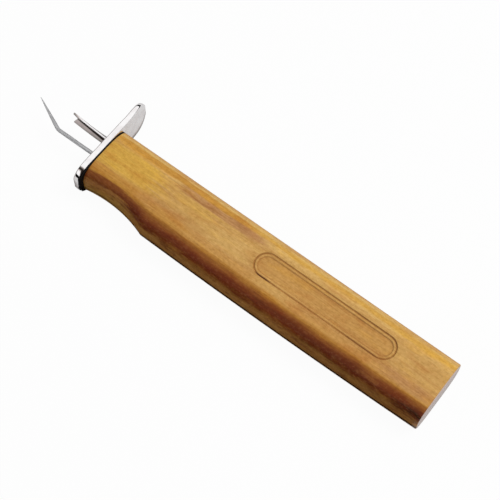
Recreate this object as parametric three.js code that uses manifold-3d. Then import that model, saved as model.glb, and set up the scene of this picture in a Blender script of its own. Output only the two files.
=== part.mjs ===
import * as THREE from 'three';
import { mergeVertices } from 'three/addons/utils/BufferGeometryUtils.js';
import Module from 'manifold-3d';

// A bead knotting tool, in millimetres. +X points to the thumb tongue, +Y runs along the handle
// towards the tip of the awl, and +Z points out of the front face. The origin is the middle of
// the flat back face, on which the tool lies.

// Handle
const HANDLE_LENGTH = 119;
const HANDLE_WIDTH = 22.2;
const HANDLE_THICKNESS = 13;
const HANDLE_POWER = 3.1; // of the superellipse section: 2 is an ellipse, higher is squarer
const BACK_FLAT_DEPTH = 0.12; // how far the crown of the back is planed off
const FINGER_SIDE_BOW = 0.8; // how far the finger side falls in at both ends
const BUTT_EASE = 0.35;

// Finger scoop, an arc sunk into the finger side
const SCOOP_DEPTH = 2.3;
const SCOOP_RADIUS = 40;
const SCOOP_FROM_HEAD = 9; // from the head end to the deepest place

// Bare label recess in the front face
const RECESS_LENGTH = 47.4;
const RECESS_WIDTH = 7.7;
const RECESS_DEPTH = 0.5;
const RECESS_X = 0.85;
const RECESS_FROM_BUTT = 15.8;

// Thumb plate with its tongue
const PLATE_THICKNESS = 2;
const PLATE_EDGE_RADIUS = 0.7;
const PLATE_EDGE_SHARE = 0.9; // the most of the half thickness that the rounding takes
const PLATE_FRONT_OVERHANG = 0.4;
const PLATE_BACK_INSET = 1.4; // keeps the plate off the surface that the handle lies on
const PLATE_SIDE_OVERHANG = 1.6; // past the finger side of the handle's end
const PLATE_CORNER_LENGTH = 5.4; // of the turn round the finger side's end
const PLATE_END_FLAT = 3.6; // straight stretch across that end
const TONGUE_START = 0.9; // from the handle's thumb side to where the tongue starts to curl
const TONGUE_LENGTH = 10; // along the curl
const TONGUE_CURL_RADIUS = 36;
const TONGUE_TIP_THICKNESS = 1.6;
const TONGUE_TIP_LENGTH = 5.8; // of the turn round the tip
const TONGUE_TIP_FLAT = 2.2;

// Pad under the plate
const PAD_THICKNESS = 0.35;
const PAD_INSET = 0.25;

// How far the plate slides up
const TRAVEL = 12.6;

// Guide rod, its bush, spring, washer and clip
const POST_FROM_THUMB_SIDE = 4.5; // from the handle's thumb side to the rod's axis
const ROD_RADIUS = 1.5;
const ROD_SHOULDER = 0.5; // the step in to the spigot that is riveted into the plate
const ROD_GROOVE_DEPTH = 0.4;
const ROD_END_LENGTH = 0.8; // below the clip's groove
const ROD_CHAMFER = 0.3;
const RUNNING_CLEARANCE = 0.07;
const FIXED_CLEARANCE = 0.1; // round a piece that is glued or pressed in
const BUSH_LENGTH = 12;
const BUSH_SHOULDER = 0.3; // step in the bore that the bush sits on
const SPRING_WIRE = 0.6;
const SPRING_CLEARANCE = 0.25; // to the rod inside it and to the bore round it
const SPRING_SPARE_LENGTH = 7.8; // left between the coils at full travel
const SPRING_END_CLEARANCE = 0.1;
const SPRING_COILS = 16;
const WASHER_THICKNESS = 0.5;
const CLIP_THICKNESS = 0.4;
const CLIP_SETBACK = 0.2; // from the washer's edge
const CLIP_SIDE_CLEARANCE = 0.1;
const CLIP_MOUTH_ANGLE = THREE.MathUtils.degToRad(80);
const BORE_END_CLEARANCE = 1.2;

// Awl and its ferrule
const AWL_FROM_POST = 6.05; // from the rod's axis to the shank's axis
const AWL_RADIUS = 0.6;
const AWL_SUNK_LENGTH = 22;
const AWL_BEND_MARGIN = 3.15; // from the raised plate's top to the bend
const AWL_BEND_RADIUS = 3;
const AWL_TIP_MARGIN = 0.25; // how far the raised fork's top passes the tip
const AWL_TIP_GAP = 0.51; // from the tip's axis to the fork's top edges
const AWL_POINT_RADIUS = 0.08;
const AWL_TAPER_POWER = 1.4; // 1 is a straight cone, higher holds the thickness longer
const AWL_HOLE_CLEARANCE = 0.35;
const FERRULE_LENGTH = 10;
const FERRULE_WALL = 0.7;

// Knotting fork, a folded channel open towards the awl
const FORK_FOLD_X = 0.9; // back of the fold, from the rod's axis
const FORK_HEIGHT = 14.8; // above the plate
const FORK_SHEET = 0.6;
const FORK_FRONT_FOOT_DEPTH = 1.8; // of the flange at the front, at the plate
const FORK_BACK_FOOT_DEPTH = 1.95; // of the flange at the back, at the plate
const FORK_TOP_DEPTH = 1.14; // of both flanges
const FORK_FOOT_WIDTH = 4.9;
const FORK_TOP_WIDTH = 6.2;
const FORK_NOTCH_DEPTH = 1.3;
const FORK_INNER_BEND = 0.2;
const FORK_FLARE_POWER = 2; // 1 widens evenly up the fork, higher widens nearer the top
const FORK_NOTCH_POWER = 6; // how close to the top the notch stays
const FORK_BACK_RISE = 0.6; // how much further up the flange at the back reaches

// Facets
const ROUND_SIDES = 28;
const SECTION_POINTS = 48;
const AWL_SIDES = 14;
const SPRING_STEPS_PER_COIL = 8;
const SPRING_SIDES = 5;
const CUT_MARGIN = 1; // how far a cutter runs past the face that it opens
const MERGE_DISTANCE = 1e-5;

// Places worked out from the sizes above
const HEAD_Y = HANDLE_LENGTH / 2;
const MID_Z = HANDLE_THICKNESS / 2;
const POST_X = HANDLE_WIDTH / 2 - POST_FROM_THUMB_SIDE;
const AWL_X = POST_X - AWL_FROM_POST;
const PLATE_UNDERSIDE = PAD_THICKNESS;
const PLATE_TOP = PLATE_UNDERSIDE + PLATE_THICKNESS;
const AWL_BEND_HEIGHT = PLATE_TOP + TRAVEL + AWL_BEND_MARGIN;
const AWL_TIP_HEIGHT = PLATE_TOP + FORK_HEIGHT + TRAVEL - AWL_TIP_MARGIN;
const AWL_TIP_REACH = AWL_FROM_POST + FORK_FOLD_X - FORK_TOP_DEPTH - AWL_TIP_GAP;
const SPRING_LENGTH = TRAVEL + SPRING_COILS * SPRING_WIRE + SPRING_SPARE_LENGTH;
const SPRING_INNER_RADIUS = ROD_RADIUS + SPRING_CLEARANCE;
const SPRING_OUTER_RADIUS = SPRING_INNER_RADIUS + SPRING_WIRE;
const SPRING_BORE_RADIUS = SPRING_OUTER_RADIUS + SPRING_CLEARANCE;
const BUSH_RADIUS = SPRING_BORE_RADIUS + BUSH_SHOULDER;
const FERRULE_INNER_RADIUS = AWL_RADIUS + FIXED_CLEARANCE;
const FERRULE_RADIUS = FERRULE_INNER_RADIUS + FERRULE_WALL;
const WASHER_TOP = -BUSH_LENGTH - SPRING_LENGTH;
const CLIP_TOP = WASHER_TOP - WASHER_THICKNESS;
const GROOVE_BOTTOM = CLIP_TOP - CLIP_THICKNESS - CLIP_SIDE_CLEARANCE;
const ROD_BOTTOM = GROOVE_BOTTOM - ROD_END_LENGTH;
const BORE_BOTTOM = ROD_BOTTOM - BORE_END_CLEARANCE;

const wasm = await Module();
wasm.setup();

function toSolid(geometry) {
  const bare = geometry.clone();
  bare.deleteAttribute('normal');
  bare.deleteAttribute('uv');
  const merged = mergeVertices(bare, MERGE_DISTANCE);
  return new wasm.Manifold(new wasm.Mesh({
    numProp: 3,
    vertProperties: new Float32Array(merged.attributes.position.array),
    triVerts: new Uint32Array(merged.index.array),
  }));
}

function cut(geometry, cutters) {
  let solid = toSolid(geometry);
  for (const cutter of cutters) {
    solid = solid.subtract(toSolid(cutter));
  }
  const mesh = solid.getMesh();
  const result = new THREE.BufferGeometry();
  result.setAttribute('position', new THREE.BufferAttribute(mesh.vertProperties, 3));
  result.setIndex(new THREE.BufferAttribute(mesh.triVerts, 1));
  return result;
}

// Skins a row of rings and closes both ends. Each ring runs counterclockwise seen from beyond the
// last one. The ends are triangulated in the plane that the function flatten maps them to.
function loft(rings, flatten) {
  const count = rings[0].length;
  const positions = rings.flat().flatMap((point) => [point.x, point.y, point.z]);
  const index = [];
  for (let ring = 0; ring < rings.length - 1; ring += 1) {
    for (let side = 0; side < count; side += 1) {
      const next = (side + 1) % count;
      const a = ring * count + side;
      const b = ring * count + next;
      index.push(a, b, a + count, b, b + count, a + count);
    }
  }
  const last = (rings.length - 1) * count;
  for (const [start, ring, turned] of [[0, rings[0], true], [last, rings.at(-1), false]]) {
    for (const face of THREE.ShapeUtils.triangulateShape(ring.map(flatten), [])) {
      const [a, b, c] = face.map((corner) => corner + start).sort((one, two) => one - two);
      index.push(...(turned ? [a, c, b] : [a, b, c]));
    }
  }
  const geometry = new THREE.BufferGeometry();
  geometry.setAttribute('position', new THREE.Float32BufferAttribute(positions, 3));
  geometry.setIndex(index);
  return geometry;
}

// A round bar along Y, between two heights
function bar(radius, bottom, top, x = 0) {
  const geometry = new THREE.CylinderGeometry(radius, radius, top - bottom, ROUND_SIDES);
  return geometry.translate(x, (bottom + top) / 2, 0);
}

// A round sleeve along Y
function sleeve(innerRadius, outerRadius, bottom, top) {
  const profile = [
    new THREE.Vector2(innerRadius, bottom),
    new THREE.Vector2(outerRadius, bottom),
    new THREE.Vector2(outerRadius, top),
    new THREE.Vector2(innerRadius, top),
    new THREE.Vector2(innerRadius, bottom),
  ];
  return new THREE.LatheGeometry(profile, ROUND_SIDES);
}

// Lays a shape drawn in X and Z flat under a height, as a sheet of one thickness
function sheet(shape, thickness, top) {
  const geometry = new THREE.ExtrudeGeometry(shape, { depth: thickness, bevelEnabled: false });
  return geometry.rotateX(Math.PI / 2).translate(0, top, 0);
}

function superellipse(angle, halfWidth, halfHeight) {
  const power = 2 / HANDLE_POWER;
  const x = Math.sign(Math.cos(angle)) * Math.abs(Math.cos(angle)) ** power;
  const z = Math.sign(Math.sin(angle)) * Math.abs(Math.sin(angle)) ** power;
  return [x * halfWidth, z * halfHeight];
}

function scoopDepth(fromHead) {
  const along = fromHead - SCOOP_FROM_HEAD;
  if (Math.abs(along) >= SCOOP_RADIUS) {
    return 0;
  }
  const sunk = SCOOP_DEPTH - SCOOP_RADIUS + Math.sqrt(SCOOP_RADIUS ** 2 - along ** 2);
  return Math.max(0, sunk);
}

// Half width on the finger side, from the handle's middle line
function fingerSide(fromHead) {
  const bow = FINGER_SIDE_BOW * (2 * fromHead / HANDLE_LENGTH - 1) ** 2;
  return HANDLE_WIDTH / 2 - bow - scoopDepth(fromHead);
}

// One section of the handle, with the back's crown planed flat at z = 0
function handleSection(y, inset) {
  const halfHeight = (HANDLE_THICKNESS + BACK_FLAT_DEPTH) / 2;
  const centre = HANDLE_THICKNESS - halfHeight;
  const thumbSide = HANDLE_WIDTH / 2 - inset;
  const finger = fingerSide(HEAD_Y - y) - inset;
  const points = [];
  for (let i = 0; i < SECTION_POINTS; i += 1) {
    const angle = (i + 0.5) * 2 * Math.PI / SECTION_POINTS;
    const side = Math.cos(angle) > 0 ? thumbSide : finger;
    const [x, z] = superellipse(angle, side, halfHeight - inset);
    points.push(new THREE.Vector3(x, y, Math.max(inset, centre + z)));
  }
  return points;
}

// Distances from the head end at which the handle has a section
function handleStations() {
  const knuckle = SCOOP_FROM_HEAD
    + Math.sqrt(SCOOP_RADIUS ** 2 - (SCOOP_RADIUS - SCOOP_DEPTH) ** 2);
  const scoopSteps = 9;
  const bodySteps = 8;
  const stations = [];
  for (let i = 0; i <= scoopSteps; i += 1) {
    stations.push(knuckle * i / scoopSteps);
  }
  const body = HANDLE_LENGTH - BUTT_EASE - knuckle;
  for (let i = 1; i <= bodySteps; i += 1) {
    stations.push(knuckle + body * i / bodySteps);
  }
  return stations;
}

function stadium(length, width) {
  const straight = (length - width) / 2;
  const shape = new THREE.Shape();
  shape.absarc(0, straight, width / 2, 0, Math.PI);
  shape.absarc(0, -straight, width / 2, Math.PI, 2 * Math.PI);
  return shape;
}

function recessCutter() {
  const depth = RECESS_DEPTH + CUT_MARGIN;
  const options = { depth, bevelEnabled: false, curveSegments: 10 };
  const cutter = new THREE.ExtrudeGeometry(stadium(RECESS_LENGTH, RECESS_WIDTH), options);
  const y = -HANDLE_LENGTH / 2 + RECESS_FROM_BUTT + RECESS_LENGTH / 2;
  return cutter.translate(RECESS_X, y, HANDLE_THICKNESS - RECESS_DEPTH);
}

function handleGeometry() {
  const rings = handleStations().map((fromHead) => handleSection(HEAD_Y - fromHead, 0));
  rings.push(handleSection(HEAD_Y - HANDLE_LENGTH, BUTT_EASE));
  const body = loft(rings, (point) => new THREE.Vector2(point.x, point.z));
  const bores = [
    bar(BUSH_RADIUS + FIXED_CLEARANCE, -BUSH_LENGTH, CUT_MARGIN, POST_X),
    bar(SPRING_BORE_RADIUS, BORE_BOTTOM, CUT_MARGIN, POST_X),
    bar(FERRULE_RADIUS + FIXED_CLEARANCE, -FERRULE_LENGTH, CUT_MARGIN, AWL_X),
    bar(AWL_RADIUS + FIXED_CLEARANCE, -AWL_SUNK_LENGTH - FIXED_CLEARANCE, CUT_MARGIN, AWL_X),
  ];
  for (const bore of bores) {
    bore.translate(0, HEAD_Y, MID_Z);
  }
  return cut(body, [...bores, recessCutter()]);
}

// Everything below is measured from the middle of the handle's end face.

const PLATE_LEFT = -(fingerSide(0) + PLATE_SIDE_OVERHANG);
const PLATE_STRAIGHT_END = HANDLE_WIDTH / 2 + TONGUE_START;
const PLATE_RIGHT = PLATE_STRAIGHT_END + TONGUE_LENGTH;
const PLATE_WIDTH = HANDLE_THICKNESS + PLATE_FRONT_OVERHANG - PLATE_BACK_INSET;
const PLATE_MID_Z = (PLATE_FRONT_OVERHANG + PLATE_BACK_INSET) / 2;

// The width at a share of a turn, which grows from a flat end as a quarter of an ellipse
function turnedWidth(width, flat, share) {
  const turn = THREE.MathUtils.clamp(1 - share, 0, 1);
  return flat + (width - flat) * Math.sqrt(1 - turn ** 2);
}

// Half width of the plate at a distance along its middle line, inside an inset from its edge
function plateHalfWidth(along, inset) {
  const fromLeft = (along - PLATE_LEFT) / PLATE_CORNER_LENGTH;
  const fromTip = (PLATE_RIGHT - along) / TONGUE_TIP_LENGTH;
  const left = turnedWidth(PLATE_WIDTH, PLATE_END_FLAT, fromLeft);
  const tip = turnedWidth(PLATE_WIDTH, TONGUE_TIP_FLAT, fromTip);
  return Math.min(left, tip) / 2 - inset;
}

function plateThickness(along) {
  const share = Math.max(0, (along - PLATE_STRAIGHT_END) / TONGUE_LENGTH);
  return THREE.MathUtils.lerp(PLATE_THICKNESS, TONGUE_TIP_THICKNESS, share);
}

// A point of the plate, by its distance along the middle line and its height over the underside
function platePoint(along, height, z) {
  if (along <= PLATE_STRAIGHT_END) {
    return new THREE.Vector3(along, PLATE_UNDERSIDE + height, PLATE_MID_Z + z);
  }
  const angle = (along - PLATE_STRAIGHT_END) / TONGUE_CURL_RADIUS;
  const radius = TONGUE_CURL_RADIUS - height;
  const x = PLATE_STRAIGHT_END + radius * Math.sin(angle);
  const y = PLATE_UNDERSIDE + TONGUE_CURL_RADIUS - radius * Math.cos(angle);
  return new THREE.Vector3(x, y, PLATE_MID_Z + z);
}

// A section across the plate: a rectangle with rounded corners
function plateSection(along, inset) {
  const halfWidth = plateHalfWidth(along, inset);
  const thickness = plateThickness(along);
  const radius = Math.min(PLATE_EDGE_RADIUS, (thickness / 2 - inset) * PLATE_EDGE_SHARE);
  const high = thickness - inset - radius;
  const low = inset + radius;
  const steps = 3;
  const corners = [
    [halfWidth - radius, high, 0],
    [radius - halfWidth, high, 1],
    [radius - halfWidth, low, 2],
    [halfWidth - radius, low, 3],
  ];
  const points = [];
  for (const [z, height, quarter] of corners) {
    for (let i = 0; i <= steps; i += 1) {
      const angle = (quarter + i / steps) * Math.PI / 2;
      const reach = radius * Math.cos(angle);
      points.push(platePoint(along, height + radius * Math.sin(angle), z + reach));
    }
  }
  return points.reverse();
}

// Stations that crowd towards an end, where the outline turns
function turnStations(end, length, direction) {
  const steps = 6;
  const stations = [];
  for (let i = 1; i <= steps; i += 1) {
    const angle = i / steps * Math.PI / 2;
    stations.push(end + direction * length * (1 - Math.cos(angle)));
  }
  return stations;
}

function platePlanStations() {
  const tongueSteps = 7;
  const tipStart = PLATE_RIGHT - TONGUE_TIP_LENGTH;
  const straight = [];
  for (let i = 0; i < tongueSteps; i += 1) {
    straight.push(PLATE_STRAIGHT_END + (tipStart - PLATE_STRAIGHT_END) * i / tongueSteps);
  }
  const left = turnStations(PLATE_LEFT, PLATE_CORNER_LENGTH, 1);
  const tip = turnStations(PLATE_RIGHT, TONGUE_TIP_LENGTH, -1).reverse();
  return [...left, ...straight, ...tip];
}

function plateGeometry() {
  const ease = PLATE_EDGE_RADIUS / 2;
  const rings = platePlanStations().map((along) => plateSection(along, 0));
  rings.unshift(plateSection(PLATE_LEFT, ease));
  rings.push(plateSection(PLATE_RIGHT, ease));
  const body = loft(rings, (point) => new THREE.Vector2(point.z, point.y));
  const bottom = PLATE_UNDERSIDE - CUT_MARGIN;
  const top = PLATE_TOP + CUT_MARGIN;
  return cut(body, [
    bar(AWL_RADIUS + AWL_HOLE_CLEARANCE, bottom, top, AWL_X),
    bar(ROD_RADIUS - ROD_SHOULDER + FIXED_CLEARANCE, bottom, top, POST_X),
  ]);
}

// The pad follows the plate's outline on the finger side and the handle's end on the thumb side.
function padShape() {
  const outline = [];
  for (let i = 0; i < SECTION_POINTS; i += 1) {
    const angle = (i + 0.5) * 2 * Math.PI / SECTION_POINTS;
    if (Math.cos(angle) > 0) {
      const halfWidth = HANDLE_WIDTH / 2 - PAD_INSET;
      const [x, z] = superellipse(angle, halfWidth, PLATE_WIDTH / 2 - PAD_INSET);
      outline.push([x, z]);
    }
  }
  const half = outline.length / 2;
  const lower = outline.slice(half);
  const upper = outline.slice(0, half);
  const finger = turnStations(PLATE_LEFT, PLATE_CORNER_LENGTH, 1).reverse();
  const turn = finger.map((along) => [along, plateHalfWidth(along, PAD_INSET)]);
  const end = PLATE_LEFT + PAD_INSET;
  const kept = turn.filter(([along]) => along > end + PAD_INSET);
  const flat = plateHalfWidth(PLATE_LEFT, PAD_INSET);
  const points = [
    ...lower,
    ...upper,
    ...kept,
    [end, flat],
    [end, -flat],
    ...kept.map(([along, width]) => [along, -width]).reverse(),
  ];
  return new THREE.Shape(points.map(([x, z]) => new THREE.Vector2(x, z + PLATE_MID_Z)));
}

function padGeometry() {
  const pad = sheet(padShape(), PAD_THICKNESS, PLATE_UNDERSIDE);
  const top = PLATE_UNDERSIDE + CUT_MARGIN;
  return cut(pad, [
    bar(AWL_RADIUS + AWL_HOLE_CLEARANCE, -CUT_MARGIN, top, AWL_X),
    bar(ROD_RADIUS + FIXED_CLEARANCE, -CUT_MARGIN, top, POST_X),
  ]);
}

function rodGeometry() {
  const grooveRadius = ROD_RADIUS - ROD_GROOVE_DEPTH;
  const spigotRadius = ROD_RADIUS - ROD_SHOULDER;
  const profile = [
    [0, ROD_BOTTOM],
    [ROD_RADIUS - ROD_CHAMFER, ROD_BOTTOM],
    [ROD_RADIUS, ROD_BOTTOM + ROD_CHAMFER],
    [ROD_RADIUS, GROOVE_BOTTOM],
    [grooveRadius, GROOVE_BOTTOM],
    [grooveRadius, CLIP_TOP],
    [ROD_RADIUS, CLIP_TOP],
    [ROD_RADIUS, PLATE_UNDERSIDE],
    [spigotRadius, PLATE_UNDERSIDE],
    [spigotRadius, PLATE_TOP],
    [0, PLATE_TOP],
  ];
  return new THREE.LatheGeometry(profile.map(([r, y]) => new THREE.Vector2(r, y)), ROUND_SIDES);
}

class Helix extends THREE.Curve {
  constructor(radius, bottom, top, coils) {
    super();
    this.radius = radius;
    this.bottom = bottom;
    this.top = top;
    this.coils = coils;
  }

  getPoint(share, target = new THREE.Vector3()) {
    const angle = share * this.coils * 2 * Math.PI;
    const height = THREE.MathUtils.lerp(this.bottom, this.top, share);
    return target.set(this.radius * Math.cos(angle), height, this.radius * Math.sin(angle));
  }
}

// The least gap between one turn of the wire and the turns that follow it
function leastCoilGap(path, wire) {
  const steps = SPRING_COILS * SPRING_STEPS_PER_COIL;
  const points = path.getSpacedPoints(steps);
  let least = Infinity;
  for (let i = 0; i <= steps; i += 1) {
    for (let j = i + SPRING_STEPS_PER_COIL / 2; j <= steps; j += 1) {
      least = Math.min(least, points[i].distanceTo(points[j]));
    }
  }
  return least - wire;
}

function springGeometry() {
  const wireRadius = SPRING_WIRE / 2;
  const end = wireRadius + SPRING_END_CLEARANCE;
  const path = new Helix(SPRING_INNER_RADIUS + wireRadius, WASHER_TOP + end,
    -BUSH_LENGTH - end, SPRING_COILS);
  console.log(`least gap between coils: ${leastCoilGap(path, SPRING_WIRE).toFixed(2)} mm`);
  const wire = new THREE.Shape();
  for (let i = 0; i < SPRING_SIDES; i += 1) {
    const angle = i / SPRING_SIDES * 2 * Math.PI;
    const point = [wireRadius * Math.cos(angle), wireRadius * Math.sin(angle)];
    if (i === 0) {
      wire.moveTo(...point);
    } else {
      wire.lineTo(...point);
    }
  }
  const steps = SPRING_COILS * SPRING_STEPS_PER_COIL;
  return new THREE.ExtrudeGeometry(wire, { steps, extrudePath: path, bevelEnabled: false });
}

function clipGeometry() {
  const inner = ROD_RADIUS - ROD_GROOVE_DEPTH + FIXED_CLEARANCE;
  const outer = SPRING_OUTER_RADIUS - CLIP_SETBACK;
  const start = CLIP_MOUTH_ANGLE / 2;
  const end = 2 * Math.PI - start;
  const shape = new THREE.Shape();
  shape.absarc(0, 0, outer, start, end, false);
  shape.absarc(0, 0, inner, end, start, true);
  return sheet(shape, CLIP_THICKNESS, CLIP_TOP - CLIP_SIDE_CLEARANCE / 2);
}

// The awl's middle line: straight, round the bend, and straight again to the tip
function awlStations() {
  const rise = AWL_TIP_HEIGHT - AWL_BEND_HEIGHT;
  const lean = Math.atan2(AWL_TIP_REACH, rise);
  const cutBack = AWL_BEND_RADIUS * Math.tan(lean / 2);
  const bendSteps = 4;
  const taperSteps = 6;
  const stations = [
    { x: 0, y: -AWL_SUNK_LENGTH, lean: 0, radius: AWL_RADIUS },
  ];
  for (let i = 0; i <= bendSteps; i += 1) {
    const angle = lean * i / bendSteps;
    stations.push({
      x: AWL_BEND_RADIUS * (1 - Math.cos(angle)),
      y: AWL_BEND_HEIGHT - cutBack + AWL_BEND_RADIUS * Math.sin(angle),
      lean: angle,
      radius: AWL_RADIUS,
    });
  }
  const bendEnd = stations.at(-1);
  for (let i = 1; i <= taperSteps; i += 1) {
    const share = i / taperSteps;
    stations.push({
      x: THREE.MathUtils.lerp(bendEnd.x, AWL_TIP_REACH, share),
      y: THREE.MathUtils.lerp(bendEnd.y, AWL_TIP_HEIGHT, share),
      lean,
      radius: THREE.MathUtils.lerp(AWL_RADIUS, AWL_POINT_RADIUS, share ** AWL_TAPER_POWER),
    });
  }
  return stations;
}

function awlGeometry() {
  const rings = awlStations().map(({ x, y, lean, radius }) => {
    const ring = [];
    for (let i = 0; i < AWL_SIDES; i += 1) {
      const angle = i / AWL_SIDES * 2 * Math.PI;
      const across = radius * Math.cos(angle);
      const point = [x + across * Math.cos(lean), y - across * Math.sin(lean)];
      ring.push(new THREE.Vector3(...point, -radius * Math.sin(angle)));
    }
    return ring;
  });
  return loft(rings, (point) => new THREE.Vector2(point.x, point.z));
}

// Middle line of the fork's sheet in X and Z, from the near free edge round the fold
function forkMiddleLine(width, frontDepth, backDepth) {
  const halfWidth = (width - FORK_SHEET) / 2;
  const frontReach = frontDepth - FORK_SHEET;
  const backReach = backDepth - FORK_SHEET;
  const frontTurn = Math.atan2(frontReach, halfWidth);
  const backTurn = Math.atan2(backReach, halfWidth);
  const foldX = FORK_FOLD_X - FORK_SHEET / 2;
  const bendRadius = FORK_INNER_BEND + FORK_SHEET / 2;
  const bendSteps = 4;
  const line = [{ x: foldX - frontReach, z: halfWidth }];
  for (let i = 0; i <= bendSteps; i += 1) {
    const around = THREE.MathUtils.lerp(frontTurn, -backTurn, i / bendSteps);
    const x = foldX - bendRadius * (1 - Math.cos(around));
    line.push({ x, z: bendRadius * Math.sin(around) });
  }
  line.push({ x: foldX - backReach, z: -halfWidth });
  return line;
}

function forkRing(y, line, width, notch, backRise) {
  const half = FORK_SHEET / 2;
  const offset = (index, side) => {
    const before = line[Math.max(0, index - 1)];
    const after = line[Math.min(line.length - 1, index + 1)];
    const along = new THREE.Vector2(after.x - before.x, after.z - before.z).normalize();
    const x = line[index].x - along.y * side;
    const z = line[index].z + along.x * side;
    const out = THREE.MathUtils.clamp(line[index].z * 2 / width, -1, 1);
    const raised = backRise * Math.max(0, -out) - notch * (1 - Math.abs(out));
    return new THREE.Vector3(x, y + raised, z);
  };
  const outside = line.map((_, index) => offset(index, half));
  const inside = line.map((_, index) => offset(index, -half)).reverse();
  return [...outside, ...inside];
}

function forkGeometry() {
  const steps = 6;
  const rings = [];
  for (let i = 0; i <= steps; i += 1) {
    const share = i / steps;
    const flare = share ** FORK_FLARE_POWER;
    const width = THREE.MathUtils.lerp(FORK_FOOT_WIDTH, FORK_TOP_WIDTH, flare);
    const frontDepth = THREE.MathUtils.lerp(FORK_FRONT_FOOT_DEPTH, FORK_TOP_DEPTH, share);
    const backDepth = THREE.MathUtils.lerp(FORK_BACK_FOOT_DEPTH, FORK_TOP_DEPTH, flare);
    const line = forkMiddleLine(width, frontDepth, backDepth);
    const nearTop = share ** FORK_NOTCH_POWER;
    const notch = FORK_NOTCH_DEPTH * nearTop;
    const backRise = FORK_BACK_RISE * nearTop;
    const y = PLATE_TOP + FORK_HEIGHT * share;
    rings.push(forkRing(y, line, width, notch, backRise));
  }
  return loft(rings, (point) => new THREE.Vector2(point.x, point.z));
}

const materials = {
  wood: { color: 0xc08a3e, roughness: 0.45, metalness: 0 },
  chrome: { color: 0xe8e8ea, roughness: 0.12, metalness: 1 },
  steel: { color: 0x9fa1a3, roughness: 0.35, metalness: 1 },
  brass: { color: 0xc9a24a, roughness: 0.35, metalness: 1 },
  rubber: { color: 0x141414, roughness: 0.8, metalness: 0 },
};

function piece(name, geometry, material, x = 0) {
  const mesh = new THREE.Mesh(geometry, new THREE.MeshStandardMaterial(materials[material]));
  mesh.name = name;
  mesh.position.x = x;
  return mesh;
}

function fixedPieces() {
  const bush = sleeve(ROD_RADIUS + RUNNING_CLEARANCE, BUSH_RADIUS, -BUSH_LENGTH, 0);
  const ferrule = sleeve(FERRULE_INNER_RADIUS, FERRULE_RADIUS, -FERRULE_LENGTH, 0);
  return [
    piece('guide_bush', bush, 'brass', POST_X),
    piece('return_spring', springGeometry(), 'steel', POST_X),
    piece('awl', awlGeometry(), 'steel', AWL_X),
    piece('awl_ferrule', ferrule, 'brass', AWL_X),
  ];
}

function slidingPieces() {
  const washer = sleeve(ROD_RADIUS + RUNNING_CLEARANCE, SPRING_OUTER_RADIUS, CLIP_TOP, WASHER_TOP);
  return [
    piece('thumb_plate', plateGeometry(), 'chrome'),
    piece('stop_pad', padGeometry(), 'rubber'),
    piece('knotting_fork', forkGeometry(), 'chrome', POST_X),
    piece('guide_rod', rodGeometry(), 'steel', POST_X),
    piece('spring_washer', washer, 'steel', POST_X),
    piece('retaining_clip', clipGeometry(), 'steel', POST_X),
  ];
}

const head = new THREE.Group();
head.position.set(0, HEAD_Y, MID_Z);
head.add(...fixedPieces(), ...slidingPieces());

const tool = new THREE.Group();
tool.add(piece('handle', handleGeometry(), 'wood'), head);

export default tool;
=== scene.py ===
import math

import bmesh
import bpy
import numpy as np
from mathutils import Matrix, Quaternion, Vector
from mathutils.geometry import tessellate_polygon


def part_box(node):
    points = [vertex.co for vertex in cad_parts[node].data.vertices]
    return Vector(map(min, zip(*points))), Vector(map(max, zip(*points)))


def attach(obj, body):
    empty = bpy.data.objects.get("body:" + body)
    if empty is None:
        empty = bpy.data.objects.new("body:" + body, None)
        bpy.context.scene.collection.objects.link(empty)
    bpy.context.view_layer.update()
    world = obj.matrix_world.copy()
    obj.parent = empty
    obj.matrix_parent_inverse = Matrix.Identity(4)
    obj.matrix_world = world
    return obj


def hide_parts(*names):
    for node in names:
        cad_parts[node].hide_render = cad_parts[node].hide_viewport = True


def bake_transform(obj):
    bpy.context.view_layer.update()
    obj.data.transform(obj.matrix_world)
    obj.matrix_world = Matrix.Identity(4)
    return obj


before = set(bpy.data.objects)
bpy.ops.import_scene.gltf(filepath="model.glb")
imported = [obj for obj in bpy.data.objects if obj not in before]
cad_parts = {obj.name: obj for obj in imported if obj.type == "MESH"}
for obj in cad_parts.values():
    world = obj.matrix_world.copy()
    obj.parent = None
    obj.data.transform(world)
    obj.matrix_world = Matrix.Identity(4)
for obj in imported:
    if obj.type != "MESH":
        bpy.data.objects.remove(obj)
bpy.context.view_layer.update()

# Each piece of the scene: the CAD node that it stands for, the body that it rides on, its material
# slot, and from how many degrees its edges are sharp. The spring rides on no body.
PIECES = {
    "wood_handle": ("handle", "grip", "handle_wood", 35),
    "chrome_thumb_plate": ("thumb_plate", "slider", "plate_chrome", 40),
    "rubber_stop_pad": ("stop_pad", "slider", "pad_rubber", 30),
    "chrome_knotting_fork": ("knotting_fork", "slider", "fork_chrome", 40),
    "steel_awl": ("awl", "grip", "awl_steel", 50),
    "turned_awl_ferrule": ("awl_ferrule", "grip", "bush_brass", 30),
    "turned_guide_bush": ("guide_bush", "grip", "bush_brass", 30),
    "turned_guide_rod": ("guide_rod", "slider", "rod_steel", 30),
    "turned_spring_washer": ("spring_washer", "slider", "rod_steel", 30),
    "sprung_retaining_clip": ("retaining_clip", "slider", "rod_steel", 30),
    "coil_return_spring": ("return_spring", None, "spring_steel", 35),
}

# Sizes are in millimetres in the part's frame: +X to the thumb tongue, +Y along the handle to the
# awl's tip, +Z out of the front face. Meshes are scaled to metres as they are made.
MM = 0.001


def box_mm(node):
    """The lowest and highest corner of a CAD node, in millimetres."""
    low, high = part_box(node)
    return low / MM, high / MM


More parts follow.
